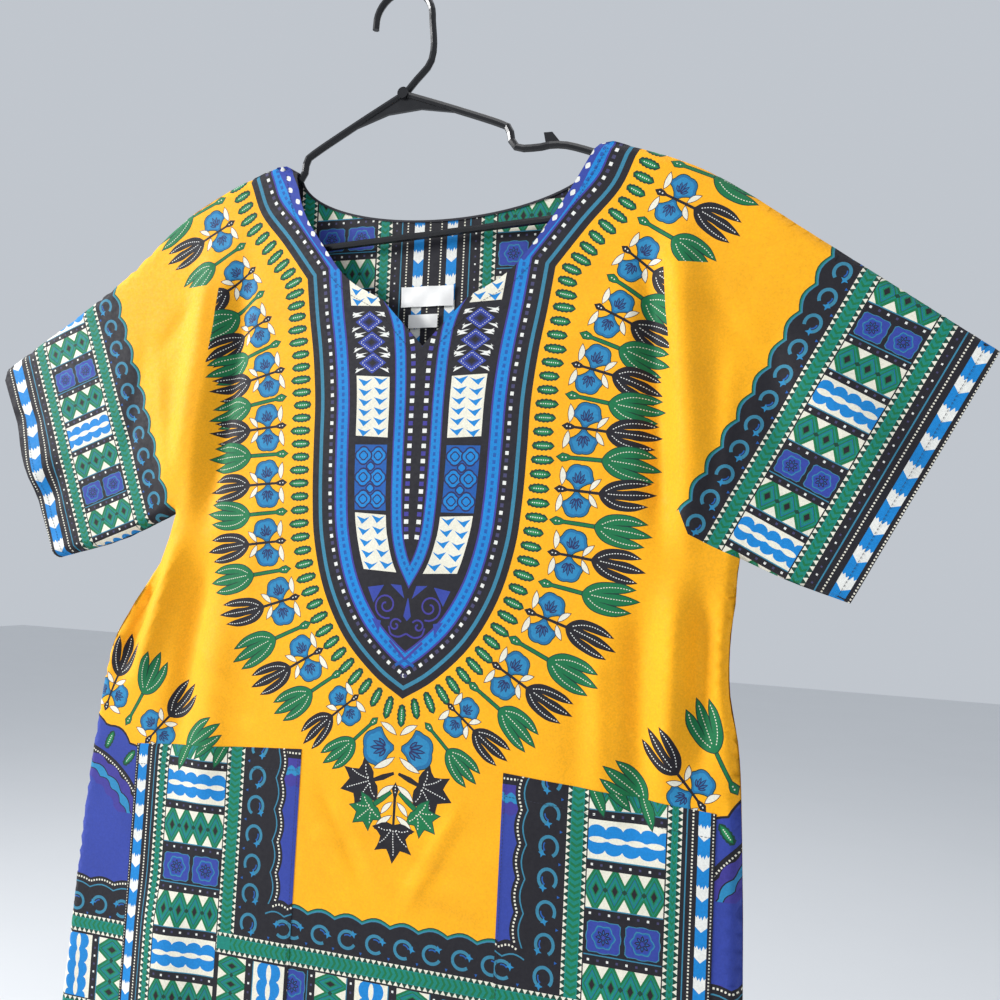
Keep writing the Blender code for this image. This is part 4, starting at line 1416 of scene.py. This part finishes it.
def cotton_material():
    """Wax-printed cotton: its colours come from the drawn print."""
    made, tree, shader, coords = new_material("printed_cotton_look")
    pattern = node(tree, "ShaderNodeVertexColor", layer_name="print")
    cloudy = ramp(tree, noise(tree, coords, 16.0, 4.0), 0.3, 0.7, 0.93, 1.06)
    speckle = ramp(tree, noise(tree, coords, 620.0, 2.0), 0.25, 0.75, 0.88, 1.10)
    shade = node(tree, "ShaderNodeMath", operation="MULTIPLY")
    tree.links.new(cloudy, shade.inputs[0])
    tree.links.new(speckle, shade.inputs[1])
    grey = node(tree, "ShaderNodeCombineColor")
    for channel in ("Red", "Green", "Blue"):
        tree.links.new(shade.outputs[0], grey.inputs[channel])
    tinted = node(tree, "ShaderNodeMix", data_type="RGBA", blend_type="MULTIPLY")
    tinted.inputs["Factor"].default_value = 1.0
    tree.links.new(pattern.outputs["Color"], tinted.inputs["A"])
    tree.links.new(grey.outputs["Color"], tinted.inputs["B"])
    tree.links.new(tinted.outputs["Result"], shader.inputs["Base Color"])
    rough = ramp(tree, noise(tree, coords, 300.0), 0.3, 0.7, 0.62, 0.78)
    tree.links.new(rough, shader.inputs["Roughness"])
    shader.inputs["Sheen Weight"].default_value = 0.04
    shader.inputs["Sheen Roughness"].default_value = 0.45
    shader.inputs["Specular IOR Level"].default_value = 0.35
    threads = bump(tree, weave_height(tree, coords, COTTON_PITCH), 0.22, 0.0002)
    crumple = bump(tree, noise(tree, coords, 21.0, 3.0, 0.5), 0.30, 0.0040)
    tree.links.new(threads.outputs["Normal"], crumple.inputs["Normal"])
    tree.links.new(crumple.outputs["Normal"], shader.inputs["Normal"])
    return made


def dyed_material(name, colour):
    """Plain dyed cotton of one colour, for folded edges and thread."""
    made, tree, shader, coords = new_material(name)
    dark, light = ([c * share for c in linear(colour)] for share in (0.8, 1.2))
    mottled(tree, shader, coords, dark, light, 500.0)
    shader.inputs["Roughness"].default_value = 0.75
    threads = bump(tree, weave_height(tree, coords, COTTON_PITCH), 0.2, 0.0002)
    tree.links.new(threads.outputs["Normal"], shader.inputs["Normal"])
    return made


def satin_material():
    made, tree, shader, coords = new_material("white_satin_look")
    mottled(tree, shader, coords, (0.72, 0.71, 0.69), (0.86, 0.85, 0.83), 90.0)
    rough = ramp(tree, noise(tree, coords, 400.0), 0.3, 0.7, 0.34, 0.48)
    tree.links.new(rough, shader.inputs["Roughness"])
    shader.inputs["Sheen Weight"].default_value = 0.3
    threads = bump(tree, weave_height(tree, coords, SATIN_PITCH), 0.3, 0.0002)
    tree.links.new(threads.outputs["Normal"], shader.inputs["Normal"])
    return made


def plastic_material():
    made, tree, shader, coords = new_material("black_plastic_look")
    mottled(tree, shader, coords, (0.006, 0.006, 0.007), (0.016, 0.016, 0.018), 40.0)
    rough = ramp(tree, noise(tree, coords, 120.0), 0.3, 0.7, 0.20, 0.28)
    tree.links.new(rough, shader.inputs["Roughness"])
    shader.inputs["Specular IOR Level"].default_value = 0.4
    skin = bump(tree, noise(tree, coords, 60.0), 0.06, 0.0003)
    tree.links.new(skin.outputs["Normal"], shader.inputs["Normal"])
    return made


def plain_material(name, colour, roughness):
    made, tree, shader, coords = new_material(name)
    mottled(tree, shader, coords, [c * 0.97 for c in colour], colour, 3.0)
    shader.inputs["Roughness"].default_value = roughness
    return made


# ---------------------------------------------------------------- small pieces
def label_sheet(name, row, satin):
    """A bare satin label, slightly crumpled, on the inside of the back."""
    _, cx, cz, width, height = row
    columns, rows = 26, 12
    flat = np.array([(cx + width * (i / columns - 0.5), cz + height * (j / rows - 0.5))
                     for j in range(rows + 1) for i in range(columns + 1)])
    ripple = (0.00055 * np.sin(flat[:, 0] * 240 + cz * 900) * np.cos(flat[:, 1] * 190)
              + 0.0004 * np.sin(flat[:, 0] * 95 + 1.0))
    verts = [(x + GARMENT_X, y - LABEL_INSET - r, z)
             for (x, z), y, r in zip(flat, depth(flat, BACK_FOLDS), ripple)]
    return smooth_object(name + "_satin", verts, grid_faces(rows + 1, columns + 1), satin)


def wall_points(line, folds, outward, proud):
    """Points of the cloth along a line, stood proud of it or sunk behind it."""
    height = depth(line, folds) + proud
    return np.column_stack((line[:, 0] + GARMENT_X, outward * height, line[:, 1]))


def turned_hem(name, line, folds, outward, material, width):
    """The cloth's edge folded over once to the inside, open at its upper edge."""
    rows = ((0.0, 0.0), (-0.0002, -0.0004), (0.0006, -0.0008), (width * 0.5, -0.0009), (width, -0.0009))
    strips = [wall_points(offset_path(line, inset), folds, outward, proud) for inset, proud in rows]
    return smooth_object(name, np.vstack(strips).tolist(), grid_faces(len(rows), len(line)), material)


def stitch_rows(name, lines, folds, outward, material, proud=0.0003):
    """Rows of short raised stitches along lines on the cloth."""
    verts, faces = [], []
    for line in lines:
        at = np.arange(STITCH_PITCH / 2, lengths(line)[-1], STITCH_PITCH)
        ends = [points_at(line, at + d * STITCH_PITCH) for d in (-0.36, 0.0, 0.36)]
        side = (ends[2] - ends[0]) @ np.array(((0.0, 1.0), (-1.0, 0.0)))
        side *= STITCH_HALF_WIDTH / np.linalg.norm(side, axis=1)[:, None]
        rows = []
        for p, lift, half in ((ends[0], 0.0, 0.4), (ends[1], 1.0, 1.0), (ends[2], 0.0, 0.4)):
            for shift, rise in ((-half, 0.0), (0.0, 0.00022 * lift + 0.00006), (half, 0.0)):
                rows.append(wall_points(p + side * shift, folds, outward, proud + rise))
        for i in range(len(at)):
            first = len(verts)
            verts += [tuple(row[i]) for row in rows]
            faces += [(first + a, first + a + 1, first + a + 4, first + a + 3) for a in (0, 1, 3, 4)]
    return smooth_object(name, verts, faces, material)


def pocket_stitch_lines():
    """Rows of stitches round each pocket's sides and foot and below its mouth."""
    lines = []
    for side in (-1, 1):
        x0, x1 = side * (POCKET_INNER + POCKET_STITCH), side * (POCKET_OUTER - POCKET_STITCH)
        foot = POCKET_BOTTOM + POCKET_STITCH
        for ends in (((x0, POCKET_TOP_INNER), (x0, foot)), ((x1, POCKET_TOP_OUTER), (x1, foot)),
                     ((x0, foot), (x1, foot)),
                     ((x0, POCKET_TOP_INNER - POCKET_MOUTH), (x1, POCKET_TOP_OUTER - POCKET_MOUTH))):
            lines.append(smooth_line(ends, 0.006))
    return lines


# ---------------------------------------------------------------------- staging
def camera():
    """The photo's viewpoint: a turn to the left, a tilt up and a small roll."""
    data = bpy.data.cameras.new("camera")
    data.sensor_width = CAMERA_SENSOR
    data.lens = CAMERA_LENS
    made = new_object("camera", data)
    yaw, pitch, roll = CAMERA_TURNS
    forward = Vector((math.sin(yaw) * math.cos(pitch), math.cos(yaw) * math.cos(pitch), math.sin(pitch)))
    level = Vector((math.cos(yaw), -math.sin(yaw), 0.0))
    rise = level.cross(forward)
    right = math.cos(roll) * level + math.sin(roll) * rise
    up = -math.sin(roll) * level + math.cos(roll) * rise
    turn = Matrix((right, up, -forward)).transposed().to_4x4()
    made.matrix_world = Matrix.Translation(CAMERA_PLACE) @ turn
    bpy.context.scene.camera = made


def lights():
    """A pale blue-grey world, a raking key from the left and soft fills."""
    world = bpy.data.worlds.new("studio")
    bpy.context.scene.world = world
    world.use_nodes = True
    back = world.node_tree.nodes["Background"]
    back.inputs["Color"].default_value = (0.78, 0.83, 0.90, 1.0)
    back.inputs["Strength"].default_value = 0.68
    bpy.context.scene.view_settings.view_transform = "Standard"
    for name, place, target, size, power in LIGHTS:
        data = bpy.data.lights.new(name, "AREA")
        data.shape = "SQUARE"
        data.size = size
        data.energy = power
        made = new_object(name, data)
        made.location = place
        made.rotation_euler = (Vector(target) - Vector(place)).to_track_quat("-Z", "Y").to_euler()


def floor():
    """A wide pale floor below the hanging shirt."""
    size, z = FLOOR_HALF, FLOOR_Z
    corners = [(-size, -size, z), (size, -size, z), (size, size, z), (-size, size, z)]
    pale = plain_material("pale_floor", (0.78, 0.79, 0.80), 0.85)
    made = smooth_object("floor", corners, [(0, 1, 2, 3)], pale)


# ------------------------------------------------------------------------ build
camera()
lights()
floor()
cotton = cotton_material()
satin = satin_material()
plastic = plastic_material()

front_outline = panel_outline(front_neckline())
back_outline = panel_outline(back_neckline())
front = cloth_mesh("front_cloth", front_outline, front_print(), FRONT_SHAPE, -1, cotton)
back = cloth_mesh("back_cloth", back_outline, back_print(), BACK_SHAPE, 1, cotton)
cloths = [(front, "front", front_outline), (back, "back", back_outline)]
for side, node_name in ((-1, "pocket_left"), (1, "pocket_right")):
    outline = pocket_outline(side)
    made = cloth_mesh(node_name + "_cloth", outline, pocket_print(side), FRONT_SHAPE, -1, cotton,
                      POCKET_PROUD)
    cloths.append((made, node_name, outline))
for piece, node_name, outline in cloths:
    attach(piece, "root")
    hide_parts(node_name)
folded = dyed_material("hem_cotton_look", (22, 20, 30))
thread = dyed_material("thread_look", (38, 36, 52))
for tag, neckline, folds, outward in (("front", front_neckline(), FRONT_SHAPE, -1),
                                      ("back", back_neckline(), BACK_SHAPE, 1)):
    edges = {"neck": neckline, "hem": hem_line(),
             "right_cuff": cuff_line(1), "left_cuff": cuff_line(-1)[::-1]}
    for edge, line in edges.items():
        piece = turned_hem(f"{tag}_{edge}_hem", line, folds, outward, folded,
                           NECK_TURN if edge == "neck" else HEM_TURN)
        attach(piece, "root")
    rows = [offset_path(line, STITCH_INSET) for line in edges.values()]
    piece = stitch_rows(f"{tag}_stitches", rows, folds, outward, thread)
    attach(piece, "root")
piece = stitch_rows("pocket_stitches", pocket_stitch_lines(), FRONT_SHAPE, -1, thread,
                    POCKET_PROUD + 0.0002)
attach(piece, "root")
for row in LABELS:
    piece = label_sheet(row[0], row, satin)
    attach(piece, "root")
    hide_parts(row[0])
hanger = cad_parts["hanger"]
hanger.data.materials.clear()
hanger.data.materials.append(plastic)
